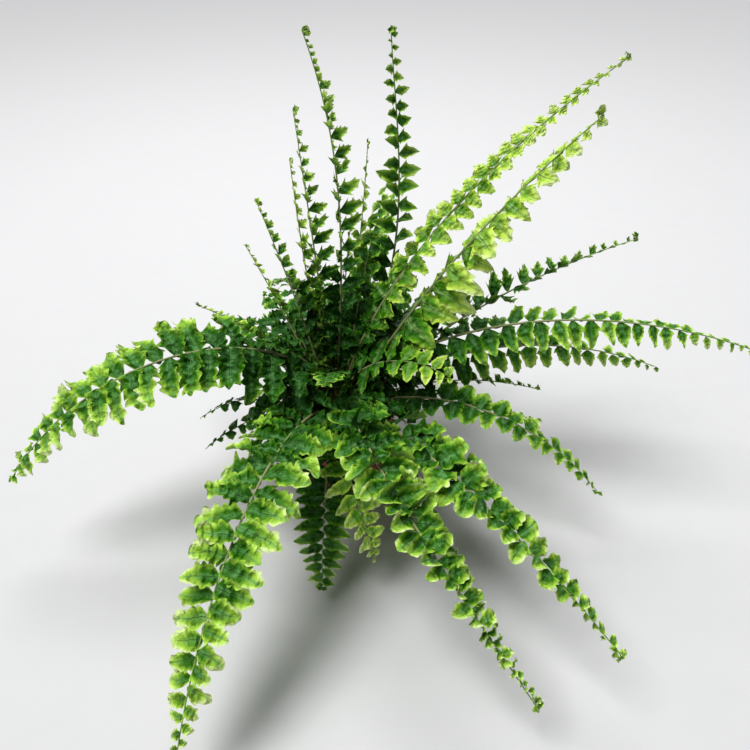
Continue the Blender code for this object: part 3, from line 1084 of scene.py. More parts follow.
# %% Steps that makers share
def named(tree, name, kind="FLOAT"):
    """An attribute of the geometry, as a field."""
    node = add(tree, "GeometryNodeInputNamedAttribute", {"Name": name}, data_type=kind)
    return node.outputs[0]


def moved(tree, place, direction, distance):
    step = vectors(tree, "SCALE", direction, scale=distance)
    return vectors(tree, "ADD", place, step)


def turned(tree, vector, axis, angle):
    inputs = {0: vector, 2: axis, 3: angle}
    node = add(tree, "ShaderNodeVectorRotate", inputs, rotation_type="AXIS_ANGLE")
    return node.outputs[0]


def facing(tree, out, face):
    """The turn that points a piece's X along out and its Z along face."""
    node = add(
        tree,
        "FunctionNodeAxesToRotation",
        {0: out, 1: face},
        primary_axis="X",
        secondary_axis="Z",
    )
    return node.outputs[0]


def shapes_in(tree, collection):
    inputs = {0: collection, 1: True, 2: True}
    return add(tree, "GeometryNodeCollectionInfo", inputs).outputs[0]


def planted(tree, points, shapes, rotation, size, pick=None):
    """A shape on each point, or the one picked from a collection."""
    inputs = {0: points, 2: shapes, 5: rotation, 6: size}
    if pick is not None:
        inputs.update({3: True, 4: pick})
    return add(tree, "GeometryNodeInstanceOnPoints", inputs).outputs[0]


def settled(tree, geometry, finish):
    """Real mesh, in its finish."""
    real = add(tree, "GeometryNodeRealizeInstances", {0: geometry}).outputs[0]
    return add(tree, "GeometryNodeSetMaterial", {0: real, 2: finish}).outputs[0]


print("shared steps are ready")

# %% [markdown]
# ## The frond maker
# Leaflets repeat down a curved midrib, which is work for Geometry Nodes. The
# tree takes a midrib line and does three things with it. It sweeps a small
# circle along it for the midrib. It cuts the bare stalk off, spaces points
# along the rest and plants a leaflet at each, to the left and right in turn.
# And it scatters scales. Each leaflet is lifted a little off the midrib's
# middle and turned by four angles: the sweep towards the tip, the fold up or
# down, the roll about its own vein, and a little chance.

# %% Frond maker: inputs
FROND_INPUTS = (
    ("Midrib line", "Geometry"),
    ("Leaflets", "Collection"),
    ("Shapes", "Int"),
    ("Scale chip", "Object"),
    ("Leaflets in all", "Int"),
    ("Stalk share", "Float"),
    ("Leaflet length", "Float"),
    ("Leaflet width", "Float"),
    ("Lift", "Float"),
    ("Least reach", "Float"),
    ("Sweep at base", "Float"),
    ("Sweep at tip", "Float"),
    ("Fold on the left", "Float"),
    ("Fold on the right", "Float"),
    ("Roll", "Float"),
    ("Chance", "Float"),
    ("Unevenness", "Float"),
    ("Midrib radius", "Float"),
    ("Scales", "Int"),
    ("Seed", "Int"),
    ("Blade finish", "Material"),
    ("Midrib finish", "Material"),
    ("Scale finish", "Material"),
)
print("inputs of the frond maker:", len(FROND_INPUTS))

# %% Frond maker: where the leaflets grow
CROWDING = 0.30
LEAF_INSET = 0.06
Spots = namedtuple("Spots", "points hand share reach side ahead up")


def crowded(tree, even):
    """Even shares from 0 to 1, moved so that the last lie closer together."""
    rest = maths(tree, "SUBTRACT", 1.0, even)
    curve = maths(tree, "SUBTRACT", 1.0, times(tree, rest, rest))
    gain = maths(tree, "SUBTRACT", curve, even)
    return maths(tree, "MULTIPLY_ADD", gain, CROWDING, even)


def sampled(tree, line, field, factor, kind="FLOAT"):
    """The line's own value, place and direction at this share of its length."""
    inputs = {0: line, 1: field, 2: factor}
    node = add(tree, "GeometryNodeSampleCurve", inputs, mode="FACTOR", data_type=kind)
    return node.outputs


def leaflet_spots(tree, line, given):
    """Points on the blade part of the midrib, left and right in turn."""
    count, stalk = given["Leaflets in all"], given["Stalk share"]
    index = add(tree, "GeometryNodeInputIndex").outputs[0]
    hand = maths(tree, "MULTIPLY_ADD", maths(tree, "MODULO", index, 2.0), -2.0, 1.0)
    even = maths(tree, "DIVIDE", index, maths(tree, "SUBTRACT", count, 1.0))
    room = maths(tree, "SUBTRACT", 1.0, stalk)
    factor = maths(tree, "MULTIPLY_ADD", crowded(tree, even), room, stalk)
    blade_side = named(tree, "side", "FLOAT_VECTOR")
    across = sampled(tree, line, blade_side, factor, "FLOAT_VECTOR")
    side, place, ahead = across[0], across[1], across[2]
    share = sampled(tree, line, named(tree, "frond_share"), factor)[0]
    reach = sampled(tree, line, named(tree, "reach"), factor)[0]
    reach = maths(tree, "MAXIMUM", reach, given["Least reach"])
    up = vectors(tree, "NORMALIZE", vectors(tree, "CROSS_PRODUCT", ahead, side))
    place = moved(tree, place, up, given["Lift"])
    inset = times(
        tree,
        times(tree, hand, reach),
        times(tree, given["Leaflet length"], -LEAF_INSET),
    )
    place = moved(tree, place, side, inset)
    points = add(tree, "GeometryNodePoints", {0: count, 1: place}).outputs[0]
    return Spots(points, hand, share, reach, side, ahead, up)


print("a leaflet's root is set in by", LEAF_INSET, "of its length")

# %% Frond maker: how the leaflets are turned, sized and picked
TIP_SLIMNESS = 0.65
AGE_SPREAD = 0.18
LAST_SHAPE_ROOM = 0.6


def leaflet_turn(tree, given, spots):
    seed, most = given["Seed"], given["Chance"]
    least = times(tree, most, -1.0)
    by_chance = {
        draw: chance(tree, least, most, seed, draw) for draw in ("sweep", "fold", "roll")
    }
    first, last = given["Sweep at base"], given["Sweep at tip"]
    sweep = maths(tree, "SUBTRACT", last, first)
    sweep = maths(tree, "MULTIPLY_ADD", spots.share, sweep, first)
    sweep = maths(tree, "ADD", sweep, times(tree, by_chance["sweep"], 0.5))
    leftness = maths(tree, "MULTIPLY_ADD", spots.hand, 0.5, 0.5)
    left, right = given["Fold on the left"], given["Fold on the right"]
    fold = maths(tree, "SUBTRACT", left, right)
    fold = maths(tree, "MULTIPLY_ADD", fold, leftness, right)
    fold = times(tree, maths(tree, "ADD", fold, by_chance["fold"]), spots.hand)
    roll = maths(tree, "ADD", given["Roll"], by_chance["roll"])
    roll = times(tree, roll, spots.hand)

    out = vectors(tree, "SCALE", spots.side, scale=spots.hand)
    out = vectors(tree, "SCALE", out, scale=maths(tree, "COSINE", sweep))
    out = moved(tree, out, spots.ahead, maths(tree, "SINE", sweep))
    out = turned(tree, out, spots.ahead, fold)
    face = turned(tree, turned(tree, spots.up, spots.ahead, fold), out, roll)
    return facing(tree, out, face)


def leaflet_size(tree, given, spots):
    seed = given["Seed"]
    length = times(tree, spots.reach, given["Leaflet length"])
    length = times(tree, length, chance(tree, 0.88, 1.1, seed, "leaflet length"))
    slimmed = maths(tree, "POWER", spots.reach, TIP_SLIMNESS)
    broad = times(tree, slimmed, given["Leaflet width"])
    broad = times(tree, broad, chance(tree, 0.88, 1.12, seed, "leaflet width"))
    thick = times(tree, maths(tree, "ADD", length, broad), 0.5)
    return add(tree, "ShaderNodeCombineXYZ", {0: length, 1: broad, 2: thick}).outputs[0]


def leaflet_pick(tree, given, spots):
    """The simple shapes for the young end of the frond, the full for the old."""
    spread = chance(tree, -AGE_SPREAD, AGE_SPREAD, given["Seed"], "leaflet age")
    youth = maths(tree, "ADD", spots.share, spread)
    age = maths(tree, "SUBTRACT", 1.0, youth, clamp=True)
    last = maths(tree, "SUBTRACT", given["Shapes"], LAST_SHAPE_ROOM)
    return maths(tree, "FLOOR", times(tree, age, last))


def planted_leaflets(tree, line, given):
    """The leaflets, each with its own tone and its share of the frond."""
    spots = leaflet_spots(tree, line, given)
    leaflets = planted(
        tree,
        spots.points,
        shapes_in(tree, given["Leaflets"]),
        leaflet_turn(tree, given, spots),
        leaflet_size(tree, given, spots),
        leaflet_pick(tree, given, spots),
    )
    tone = chance(tree, 0.0, 1.0, given["Seed"], "leaflet tone")
    for name, value in (("leaflet_tone", tone), ("frond_share", spots.share)):
        leaflets = add(
            tree,
            "GeometryNodeStoreNamedAttribute",
            {0: leaflets, 2: name, 3: value},
            data_type="FLOAT",
            domain="INSTANCE",
        ).outputs[0]
    return leaflets


print("leaflets may look", AGE_SPREAD, "of the frond younger or older than they are")

# %% [markdown]
# Once the leaflets are real mesh, a slow noise bends them all a little
# differently. The midrib slims towards its tip, and so do its scales.

# %% Frond maker: bending, midrib and scales
UNEVEN_CELLS = 75.0
MIDRIB_SIDES = 8
MIDRIB_SLIMMING, SCALE_SLIMMING = -0.70, -0.7
SCALED_PART = (0.02, 0.75)


def bent_unevenly(tree, geometry, amount):
    place = add(tree, "GeometryNodeInputPosition").outputs[0]
    inputs = {"Vector": place, "Scale": UNEVEN_CELLS, "Detail": 1.0}
    cloud = add(tree, "ShaderNodeTexNoise", inputs).outputs[1]
    shift = vectors(tree, "SUBTRACT", cloud, (0.5, 0.5, 0.5))
    shift = vectors(tree, "SCALE", shift, scale=amount)
    return add(tree, "GeometryNodeSetPosition", {0: geometry, 3: shift}).outputs[0]


def swept_midrib(tree, line, given):
    share = maths(tree, "POWER", named(tree, "frond_share"), 0.9)
    slim = maths(tree, "MULTIPLY_ADD", share, MIDRIB_SLIMMING, 1.0)
    radius = times(tree, slim, given["Midrib radius"])
    circle = add(tree, "GeometryNodeCurvePrimitiveCircle", {0: MIDRIB_SIDES, 4: 1.0})
    inputs = {0: line, 1: circle.outputs[0], 2: radius, 3: True}
    tube = add(tree, "GeometryNodeCurveToMesh", inputs).outputs[0]
    inputs = {0: tube, 2: given["Midrib finish"]}
    return add(tree, "GeometryNodeSetMaterial", inputs).outputs[0]


def planted_scales(tree, line, given):
    first, last = SCALED_PART
    inputs = {0: line, 2: first, 3: last}
    part = add(tree, "GeometryNodeTrimCurve", inputs, mode="FACTOR").outputs[0]
    inputs = {0: part, 2: given["Scales"]}
    spaced = add(tree, "GeometryNodeResampleCurve", inputs, mode="COUNT").outputs[0]
    ahead = add(tree, "GeometryNodeInputTangent").outputs[0]
    seed = given["Seed"]
    turn = chance(tree, 0.0, 2.0 * pi, seed, "scale turn")
    out = turned(tree, named(tree, "side", "FLOAT_VECTOR"), ahead, turn)
    lean = moved(tree, out, ahead, chance(tree, 0.4, 2.2, seed, "scale lean"))
    size = chance(tree, 1.2, 2.6, seed, "scale size")
    size = times(tree, given["Midrib radius"], size)
    share = named(tree, "frond_share")
    size = times(tree, size, maths(tree, "MULTIPLY_ADD", share, SCALE_SLIMMING, 1.0))
    chip = add(tree, "GeometryNodeObjectInfo", {0: given["Scale chip"]})
    return planted(tree, spaced, chip.outputs["Geometry"], facing(tree, lean, out), size)


def frond_maker():
    tree, ids, given = new_maker("frond_maker", FROND_INPUTS, "Frond")
    line = add(tree, "GeometryNodeMeshToCurve", {0: given["Midrib line"]}).outputs[0]
    leaflets = planted_leaflets(tree, line, given)
    leaflets = settled(tree, leaflets, given["Blade finish"])
    leaflets = bent_unevenly(tree, leaflets, given["Unevenness"])
    scales = settled(tree, planted_scales(tree, line, given), given["Scale finish"])
    joined = tree.nodes.new("GeometryNodeJoinGeometry")
    for part in (swept_midrib(tree, line, given), leaflets, scales):
        tree.links.new(part, joined.inputs[0])
    give_back(tree, joined.outputs[0])
    return tree, ids


FROND_MAKER = frond_maker()
print("frond maker:", len(FROND_MAKER[0].nodes), "nodes")

# %% [markdown]
# ## Growing the fronds
# Each frond gets its path, its leaflets and the settings of its kind, and
# its evaluated mesh is kept as a plain piece that stands for one solid. The
# words of its name say which of the four leaf finishes it wears.

# %% Finishes by name
SLOT_WORDS = (
    ("leaf_young", {"thin", "young", "curled", "fine"}),
    # High fronds wear the bright mix, partly painted light.
    ("leaf_bright", {"bright", "high"}),
    # Fronds inside, behind and under the others wear the dark mix, partly painted shade.
    ("leaf_dark", {"dark", "inner", "rear", "behind"}),
)


def leaf_slot(name):
    words = set(name.split("_"))
    for slot, marks in SLOT_WORDS:
        if words & marks:
            return slot
    return "leaf_mid"


def finished_piece(name, mesh, slot, *nodes):
    """A piece in its place, standing for these solids if there are any."""
    piece = placed(name, mesh)
    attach(piece, "root")
    if nodes:
        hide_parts(*nodes)
    return piece


print("bright fronds:", sum(leaf_slot(frond.name) == "leaf_bright" for frond in FRONDS))

# %% Grow them
BUD_LEAFLETS = 7
MIDRIB_LEAST, MIDRIB_GAIN = 0.0006, 0.0021
SCALES_TO_THE_MM = 0.30
SEED_STEP, FIRST_SEED = 40, 7


def grow_frond(frond, seed):
    habit, slot = HABITS[frond.kind], leaf_slot(frond.name)
    length = frond.length * MM
    spacing = length * (1.0 - LEAF_START) / frond.pairs
    bud_path = frond.bud * MM * BUD_STEPS * BUD_TURN * BUD_MEAN_SIZE
    radius = MIDRIB_LEAST + MIDRIB_GAIN * frond.length * MM
    values = {
        "Leaflets": LEAFLETS[frond.kind],
        "Shapes": KINDS[frond.kind].count,
        "Scale chip": SCALE_CHIP,
        "Leaflets in all": 2 * frond.pairs + (BUD_LEAFLETS if frond.bud else 0),
        "Stalk share": LEAF_START * frond.length * MM / (length + bud_path),
        "Leaflet length": frond.half_width * MM * habit.reach * frond.size,
        "Leaflet width": spacing * habit.fullness,
        "Lift": radius * habit.lift,
        "Least reach": habit.least,
        "Sweep at base": radians(habit.sweep_base),
        "Sweep at tip": radians(habit.sweep_tip),
        "Fold on the left": radians(frond.fold_left),
        "Fold on the right": radians(frond.fold_right),
        "Roll": radians(habit.roll),
        "Chance": radians(habit.chance),
        "Unevenness": habit.uneven,
        "Midrib radius": radius,
        "Scales": int(frond.length * SCALES_TO_THE_MM),
        "Seed": seed,
        "Blade finish": LEAF_FINISHES[slot],
        "Midrib finish": MIDRIB_FINISH,
        "Scale finish": SCALE_FINISH,
    }
    name = "frond_" + frond.name
    mesh = made_by(FROND_MAKER, midrib_line(frond), values, name)
    return finished_piece(name, mesh, slot, frond.name)


grown = [
    grow_frond(frond, SEED_STEP * index + FIRST_SEED)
    for index, frond in enumerate(FRONDS)
]
print("fronds:", len(grown), "with", sum(len(p.data.polygons) for p in grown), "faces")

# %% [markdown]
# ## Pot
# The pot is a thin thermoformed plastic one: a turned shape with a rolled
# rim, a slight taper, a foot ring and six drain holes. One profile is turned
# round the axis, inside and outside in a single closed wall, and small steps
# in the profile give the rim its roll and the wall two faint mould bands.

# %% Pot profile
POT_HEIGHT, RIM_RADIUS, RIM_DEPTH = 0.080, 0.045, 0.009
BODY_TOP_RADIUS, BODY_FOOT_RADIUS, WALL = 0.0425, 0.0315, 0.0014
FLOOR_TOP, BASE_LIFT = 0.0034, 0.0020
FILLET = 0.0020
INSIDE_STEPS, INSIDE_STEP = 20, 0.0034
WALL_HEIGHTS = (0.0690, 0.0660, 0.0652, 0.0648, 0.0640, 0.0500, 0.0350, 0.0200)
WALL_HEIGHTS += (0.0130, 0.0122, 0.0118, 0.0110, 0.0060)
BAND_HEIGHTS, BAND_DEPTH = (0.0652, 0.0648, 0.0122, 0.0118), 0.0003


def outer_radius(height):
    share = height / (POT_HEIGHT - RIM_DEPTH)
    return BODY_FOOT_RADIUS + (BODY_TOP_RADIUS - BODY_FOOT_RADIUS) * share


def inner_radius(height):
    return outer_radius(height) - WALL


def rounded(centre, radius, start, end, steps):
    """Points on an arc in the profile, angles in degrees."""
    angles = [radians(start + (end - start) * k / steps) for k in range(steps + 1)]
    return [(centre[0] + radius * cos(a), centre[1] + radius * sin(a)) for a in angles]


def inside_outline():
    """(radius, height) from the middle of the floor up to under the rim."""
    floor_radius = inner_radius(FLOOR_TOP)
    outline = [(0.0, FLOOR_TOP), (0.020, FLOOR_TOP), (floor_radius - 0.0025, FLOOR_TOP)]
    corner = (floor_radius - FILLET, FLOOR_TOP + FILLET)
    outline += rounded(corner, FILLET, -80, 0, 5)
    for step in range(1, INSIDE_STEPS):
        height = FLOOR_TOP + FILLET + step * INSIDE_STEP
        if height < POT_HEIGHT - RIM_DEPTH:
            outline.append((inner_radius(height), height))
    return outline


def rim_outline():
    """Over the rim, from its inner side to its lower outer edge."""
    inner = RIM_RADIUS - WALL
    outline = [(inner - 0.0006, 0.0712), (inner, 0.0722), (inner, 0.0760)]
    outline += rounded((inner + 0.0008, 0.0790), 0.0010, 180, 90, 6)
    outline += rounded((RIM_RADIUS - 0.0008, 0.0786), 0.0014, 90, -60, 9)
    outline += [(RIM_RADIUS, 0.0766), (RIM_RADIUS - 0.0002, 0.0735)]
    outline += rounded((RIM_RADIUS - 0.0012, 0.0722), 0.0009, 0, -80, 4)
    return outline + [(BODY_TOP_RADIUS + 0.0002, 0.0708)]


def outside_outline():
    """Down the wall, round the foot ring and in to the raised base."""
    outline = []
    for height in WALL_HEIGHTS:
        band = BAND_DEPTH if height in BAND_HEIGHTS else 0.0
        outline.append((outer_radius(height) - band, height))
    outline += rounded((BODY_FOOT_RADIUS - 0.0010, 0.0011), 0.0011, 0, -85, 5)
    outline += [(0.0288, 0.0), (0.0282, 0.0006), (0.0277, BASE_LIFT)]
    return outline + [(0.0120, BASE_LIFT), (0.0114, 0.0004), (0.0108, 0.0), (0.0, 0.0)]


POT_OUTLINE = inside_outline() + rim_outline() + outside_outline()
print("points in the pot's profile:", len(POT_OUTLINE))


# %% Turning a profile
def ring(radius, height, sides, middle=(0.0, 0.0)):
    """Points on a level circle."""
    angles = [2.0 * pi * k / sides for k in range(sides)]
    x, y = middle
    return [(x + radius * cos(a), y + radius * sin(a), height) for a in angles]


def turned_mesh(name, outline, turns):
    """The outline turned round the Z axis. A point on the axis is one vertex.
    The faces look outwards if the outline has its solid on its right."""
    points, rings = [], []
    for radius, height in outline:
        if radius == 0.0:
            rings.append([len(points)] * turns)
            points.append((0.0, 0.0, height))
            continue
        rings.append(list(range(len(points), len(points) + turns)))
        points += ring(radius, height, turns)
    faces = []
    for low, high in zip(rings, rings[1:]):
        for k in range(turns):
            after = (k + 1) % turns
            corners = (low[k], high[k], high[after], low[after])
            face = list(dict.fromkeys(corners))
            if len(face) > 2:
                faces.append(face)
    mesh = bpy.data.meshes.new(name)
    mesh.from_pydata(points, [], faces)
    return mesh


print("a ring of four:", [[round(x, 3) for x in point] for point in ring(1.0, 0.0, 4)])

# %% [markdown]
# The drain holes are cut by a Boolean, as a punch would. The punch is six
# closed cylinders that pass right through the base.

# %% Hole punch
HOLE_RADIUS, HOLE_CIRCLE, HOLE_COUNT = 0.0035, 0.0195, 6
HOLE_START, HOLE_SIDES = 30.0, 32
PUNCH_HEIGHTS = (-0.002, 0.006)


def hole_punch():
    points, faces = [], []
    for hole in range(HOLE_COUNT):
        turn = radians(HOLE_START + 360.0 / HOLE_COUNT * hole)
        middle = (HOLE_CIRCLE * cos(turn), HOLE_CIRCLE * sin(turn))
        low = list(range(len(points), len(points) + HOLE_SIDES))
        high = [corner + HOLE_SIDES for corner in low]
        for height in PUNCH_HEIGHTS:
            points += ring(HOLE_RADIUS, height, HOLE_SIDES, middle)
        faces += [low[::-1], high]
        for k in range(HOLE_SIDES):
            after = (k + 1) % HOLE_SIDES
            faces.append((low[k], low[after], high[after], high[k]))
    mesh = bpy.data.meshes.new("hole_punch")
    mesh.from_pydata(points, [], faces)
    return mesh


print("drain holes:", HOLE_COUNT)

# %% [markdown]
# The plastic is a dull brick-red: a fine moulded grain, faint streaks where
# the sheet was drawn, paler scuffs at the rim, and dried potting mix smeared
# over it.

# %% Pot finish
BRICK_DARK, BRICK_LIGHT = colour(0.20, 0.032, 0.014), colour(0.30, 0.055, 0.024)
STREAK_RED = colour(0.13, 0.02, 0.01)
SCUFF_PINK = colour(0.46, 0.16, 0.10)
DRIED_MIX = colour(0.06, 0.035, 0.02)


def pot_finish():
    material, tree, shader, where = new_finish("pot_plastic", 0.45)
    grain = speckle(tree, where, 1400.0, 2.0)
    clouds = speckle(tree, where, 60.0, 4.0)
    streaks = drawn_out(tree, where, (260.0, 260.0, 12.0), 3.0)
    near_top = eased(tree, split(tree, where)[2], 0.0745, 0.0795)
    base = blended(tree, clouds, BRICK_DARK, BRICK_LIGHT)
    base = blended(tree, times(tree, streaks, 0.3), base, STREAK_RED)
    scuff = times(tree, near_top, eased(tree, clouds, 0.45, 0.75))
    base = blended(tree, times(tree, scuff, 0.35), base, SCUFF_PINK)
    dirt = times(tree, eased(tree, clouds, 0.55, 0.72), eased(tree, streaks, 0.40, 0.65))
    base = blended(tree, times(tree, dirt, 0.6), base, DRIED_MIX)
    rough = maths(tree, "MULTIPLY_ADD", clouds, 0.24, 0.36)
    coated(tree, shader, base, maths(tree, "MULTIPLY_ADD", dirt, 0.3, rough))
    relief = maths(tree, "MULTIPLY_ADD", streaks, 0.5, grain)
    raised(tree, shader, relief, 0.00012, 0.6)
    return material


# %% Pot
POT_TURNS = 144
SHARPEST_SMOOTHED = radians(38.0)


def make_pot():
    pot = placed("pot_blank", turned_mesh("pot_blank", POT_OUTLINE, POT_TURNS))
    punch = placed("punch", hole_punch())
    cut = pot.modifiers.new("drain_holes", "BOOLEAN")
    cut.operation, cut.solver, cut.object = "DIFFERENCE", "EXACT", punch
    mesh = evaluated_mesh(pot, "thin_pot")
    bpy.data.objects.remove(punch)
    mesh.materials.clear()
    mesh.materials.append(pot_finish())
    mesh.shade_smooth()
    mesh.set_sharp_from_angle(angle=SHARPEST_SMOOTHED)
    return finished_piece("thin_pot", mesh, "pot_plastic", "pot")


pot_piece = make_pot()
print("pot:", len(pot_piece.data.polygons), "faces")

# %% [markdown]
# ## Potting mix
# The mix is dark coir and peat with bark chips and a few white grains of
# perlite. The body of it is one closed solid with a lumpy top. Its profile is
# traced up from the floor and then turned round the axis backwards, because
# that way its faces look outwards.

# %% Potting mix body
SOIL_TOP, SOIL_DOME, GAP = 0.070, 0.0016, 0.0003
SOIL_TURNS = 96
SIDE_STEPS, TOP_STEPS = 14, 26


def soil_outline():
    edge = inner_radius(SOIL_TOP) - GAP
    foot = FLOOR_TOP + GAP
    outline = [(0.0, foot), (0.015, foot), (inner_radius(FLOOR_TOP) - 0.0035, foot)]
    for step in range(1, SIDE_STEPS):
        height = FLOOR_TOP + 0.004 + step * (SOIL_TOP - 0.009) / SIDE_STEPS
        outline.append((inner_radius(height) - GAP, height))
    outline.append((edge - 0.0002, SOIL_TOP - 0.0008))
    for step in range(1, TOP_STEPS):
        radius = (edge - 0.001) * (1.0 - step / TOP_STEPS)
        share = radius / edge
        outline.append((radius, SOIL_TOP + SOIL_DOME * (1.0 - share * share)))
    outline.append((0.0, SOIL_TOP + SOIL_DOME))
    return outline


def soil_finish(name):
    material, tree, shader, where = new_finish(name, 0.25)
    lumps = speckle(tree, where, 260.0, 4.0)
    fibres = drawn_out(tree, where, (1400.0, 240.0, 500.0), 2.0)
    base = blended(tree, lumps, colour(0.010, 0.006, 0.004), colour(0.060, 0.034, 0.018))
    base = blended(tree, eased(tree, fibres, 0.60, 0.70), base, colour(0.13, 0.075, 0.035))
    coated(tree, shader, base, 0.95)
    raised(tree, shader, maths(tree, "MULTIPLY_ADD", fibres, 0.4, lumps), 0.0012, 0.9)
    return material


def make_soil():
    mesh = turned_mesh("potting_mix", soil_outline()[::-1], SOIL_TURNS)
    for vertex in mesh.vertices:
        if vertex.co.z > SOIL_TOP - 0.0005:
            lump = noise.noise(vertex.co * 210.0) * 0.0009
            vertex.co.z += lump + noise.noise(vertex.co * 520.0) * 0.0004
    mesh.materials.append(soil_finish("potting_mix"))
    mesh.shade_smooth()
    return finished_piece("potting_mix", mesh, "potting_mix", "soil")


potting_mix = make_soil()
print("potting mix:", len(potting_mix.data.polygons), "faces")

# %% [markdown]
# Crumbs of bark and grains of perlite lie on the mix. A crumb is a small
# twenty-sided ball knocked out of shape, and eight of them are enough.


# %% Crumbs
def perlite_finish():
    material, tree, shader, where = new_finish("perlite_white", 0.3)
    pits = speckle(tree, where, 1500.0, 3.0)
    tint = blended(tree, pits, colour(0.42, 0.39, 0.34), colour(0.75, 0.73, 0.69))
    coated(tree, shader, tint, 0.9)
    raised(tree, shader, pits, 0.0004, 0.8)
    return material


def crumb_mesh(name, seed, stretch):
    rand = random.Random(seed)
    ratio = (1.0 + sqrt(5.0)) / 2.0
    points = []
    for a in (-1.0, 1.0):
        for b in (-ratio, ratio):
            points += [(0.0, a, b), (a, b, 0.0), (b, 0.0, a)]
    points = [Vector(p).normalized() * 0.5 * rand.uniform(0.72, 1.2) for p in points]
    points = [Vector((p.x * stretch, p.y, p.z * 0.75)) for p in points]
    mesh = bpy.data.meshes.new(name)
    mesh.from_pydata(points, [], [])
    hull = bmesh.new()
    hull.from_mesh(mesh)
    bmesh.ops.convex_hull(hull, input=hull.verts)
    loose = [v for v in hull.verts if not v.link_faces]
    bmesh.ops.delete(hull, geom=loose, context="VERTS")
    bmesh.ops.recalc_face_normals(hull, faces=hull.faces)
    hull.to_mesh(mesh)
    hull.free()
    return mesh


def crumb_set(name, count, finish, stretch):
    collection = bpy.data.collections.new(name)
    for index in range(count):
        mesh = crumb_mesh(f"{name}_{index}", f"{name} {index}", stretch)
        mesh.materials.append(finish)
        collection.objects.link(bpy.data.objects.new(f"{name}_{index}", mesh))
    return collection


BARK, PERLITE = soil_finish("bark_crumb"), perlite_finish()
BARK_CRUMBS = crumb_set("bark_crumbs", 5, BARK, 1.6)
PERLITE_GRAINS = crumb_set("perlite_grains", 3, PERLITE, 1.0)

# %% [markdown]
# ## The scatter maker
# It plants pieces at random on the upper faces of a ground mesh, above a
# lowest height, and gives back only the pieces. Each stands along the ground's
# own upright, spun at random and leaning as far as it is told to.

# %% Scatter maker
SCATTER_INPUTS = (
    ("Ground", "Geometry"),
    ("Pieces", "Collection"),
    ("Per square metre", "Float"),
    ("Least size", "Float"),
    ("Most size", "Float"),
    ("Lowest height", "Float"),
    ("Lean", "Float"),
    ("Seed", "Int"),
    ("Finish", "Material"),
)
LAST_PICK = 97


def scatter_turn(tree, given, upright):
    inputs = {0: (-pi, -pi, -pi), 1: (pi, pi, pi), 8: given["Seed"]}
    spin = add(tree, "FunctionNodeRandomValue", inputs, data_type="FLOAT_VECTOR")
    lean = add(tree, "ShaderNodeCombineXYZ", {0: given["Lean"], 1: given["Lean"], 2: 1.0})
    spin = vectors(tree, "MULTIPLY", spin.outputs[0], lean.outputs[0])
    spin = add(tree, "FunctionNodeEulerToRotation", {0: spin}).outputs[0]
    inputs = {0: upright, 1: spin}
    node = add(tree, "FunctionNodeRotateRotation", inputs, rotation_space="LOCAL")
    return node.outputs[0]


def scatter_maker():
    tree, ids, given = new_maker("scatter_maker", SCATTER_INPUTS, "Scattered")
    seed = given["Seed"]
    place = add(tree, "GeometryNodeInputPosition").outputs[0]
    high = maths(tree, "GREATER_THAN", split(tree, place)[2], given["Lowest height"])
    inputs = {0: given["Ground"], 1: high, 4: given["Per square metre"], 6: seed}
    spread = add(tree, "GeometryNodeDistributePointsOnFaces", inputs)
    inputs = {4: 0, 5: LAST_PICK, 8: seed_for(tree, seed, "piece shape")}
    pick = add(tree, "FunctionNodeRandomValue", inputs, data_type="INT").outputs[2]
    pieces = planted(
        tree,
        spread.outputs[0],
        shapes_in(tree, given["Pieces"]),
        scatter_turn(tree, given, spread.outputs["Rotation"]),
        chance(tree, given["Least size"], given["Most size"], seed, "piece size"),
        pick,
    )
    give_back(tree, settled(tree, pieces, given["Finish"]))
    return tree, ids


SCATTER_MAKER = scatter_maker()
print("scatter maker:", len(SCATTER_MAKER[0].nodes), "nodes")

# %% Crumbs on the mix
Scatter = namedtuple(
    "Scatter", "name slot pieces finish density least most lowest lean seed"
)
CRUMB_GROUND = SOIL_TOP - 0.0009


def scatter(ground, kind):
    """A piece made of many small ones that lie or stand on the ground."""
    mesh = made_by(
        SCATTER_MAKER,
        ground,
        {
            "Pieces": kind.pieces,
            "Per square metre": kind.density,
            "Least size": kind.least,
            "Most size": kind.most,
            "Lowest height": kind.lowest,
            "Lean": kind.lean,
            "Seed": kind.seed,
            "Finish": kind.finish,
        },
        kind.name,
    )
    finished_piece(kind.name, mesh, kind.slot)
    print(kind.name, "faces:", len(mesh.polygons))


scatter(potting_mix.data, Scatter(
    name="mix_crumbs",
    slot="potting_mix",
    pieces=BARK_CRUMBS,
    finish=BARK,
    density=260000.0,
    least=0.0010,
    most=0.0032,
    lowest=CRUMB_GROUND,
    lean=1.0,
    seed=31,
))
scatter(potting_mix.data, Scatter(
    name="perlite_grains",
    slot="potting_mix",
    pieces=PERLITE_GRAINS,
    finish=PERLITE,
    density=26000.0,
    least=0.0009,
    most=0.0021,
    lowest=CRUMB_GROUND,
    lean=1.0,
    seed=57,
))

# %% [markdown]
# ## Mound of fibre
# The stalks rise from a low mound of matted brown fibre and old scales. The
# mound is a closed lumpy dome. Its fur of short curved strands is scattered
# over it by the same maker as the crumbs, standing nearly upright.

# %% Mound
MOUND_TURNS, DOME_STEPS = 72, 19
MOUND_TOP = SOIL_TOP + SOIL_DOME
LUMP_CELLS, LUMP_HEIGHT = 260.0, 0.0011


def rootstock_finish():
    material, tree, shader, where = new_finish("rootstock_fibre", 0.25)
    strands = drawn_out(tree, where, (420.0, 420.0, 90.0), 4.0)
    base = blended(tree, strands, colour(0.022, 0.011, 0.006), colour(0.16, 0.085, 0.036))
    coated(tree, shader, base, 0.9)
    raised(tree, shader, strands, 0.0010, 0.9)
    return material


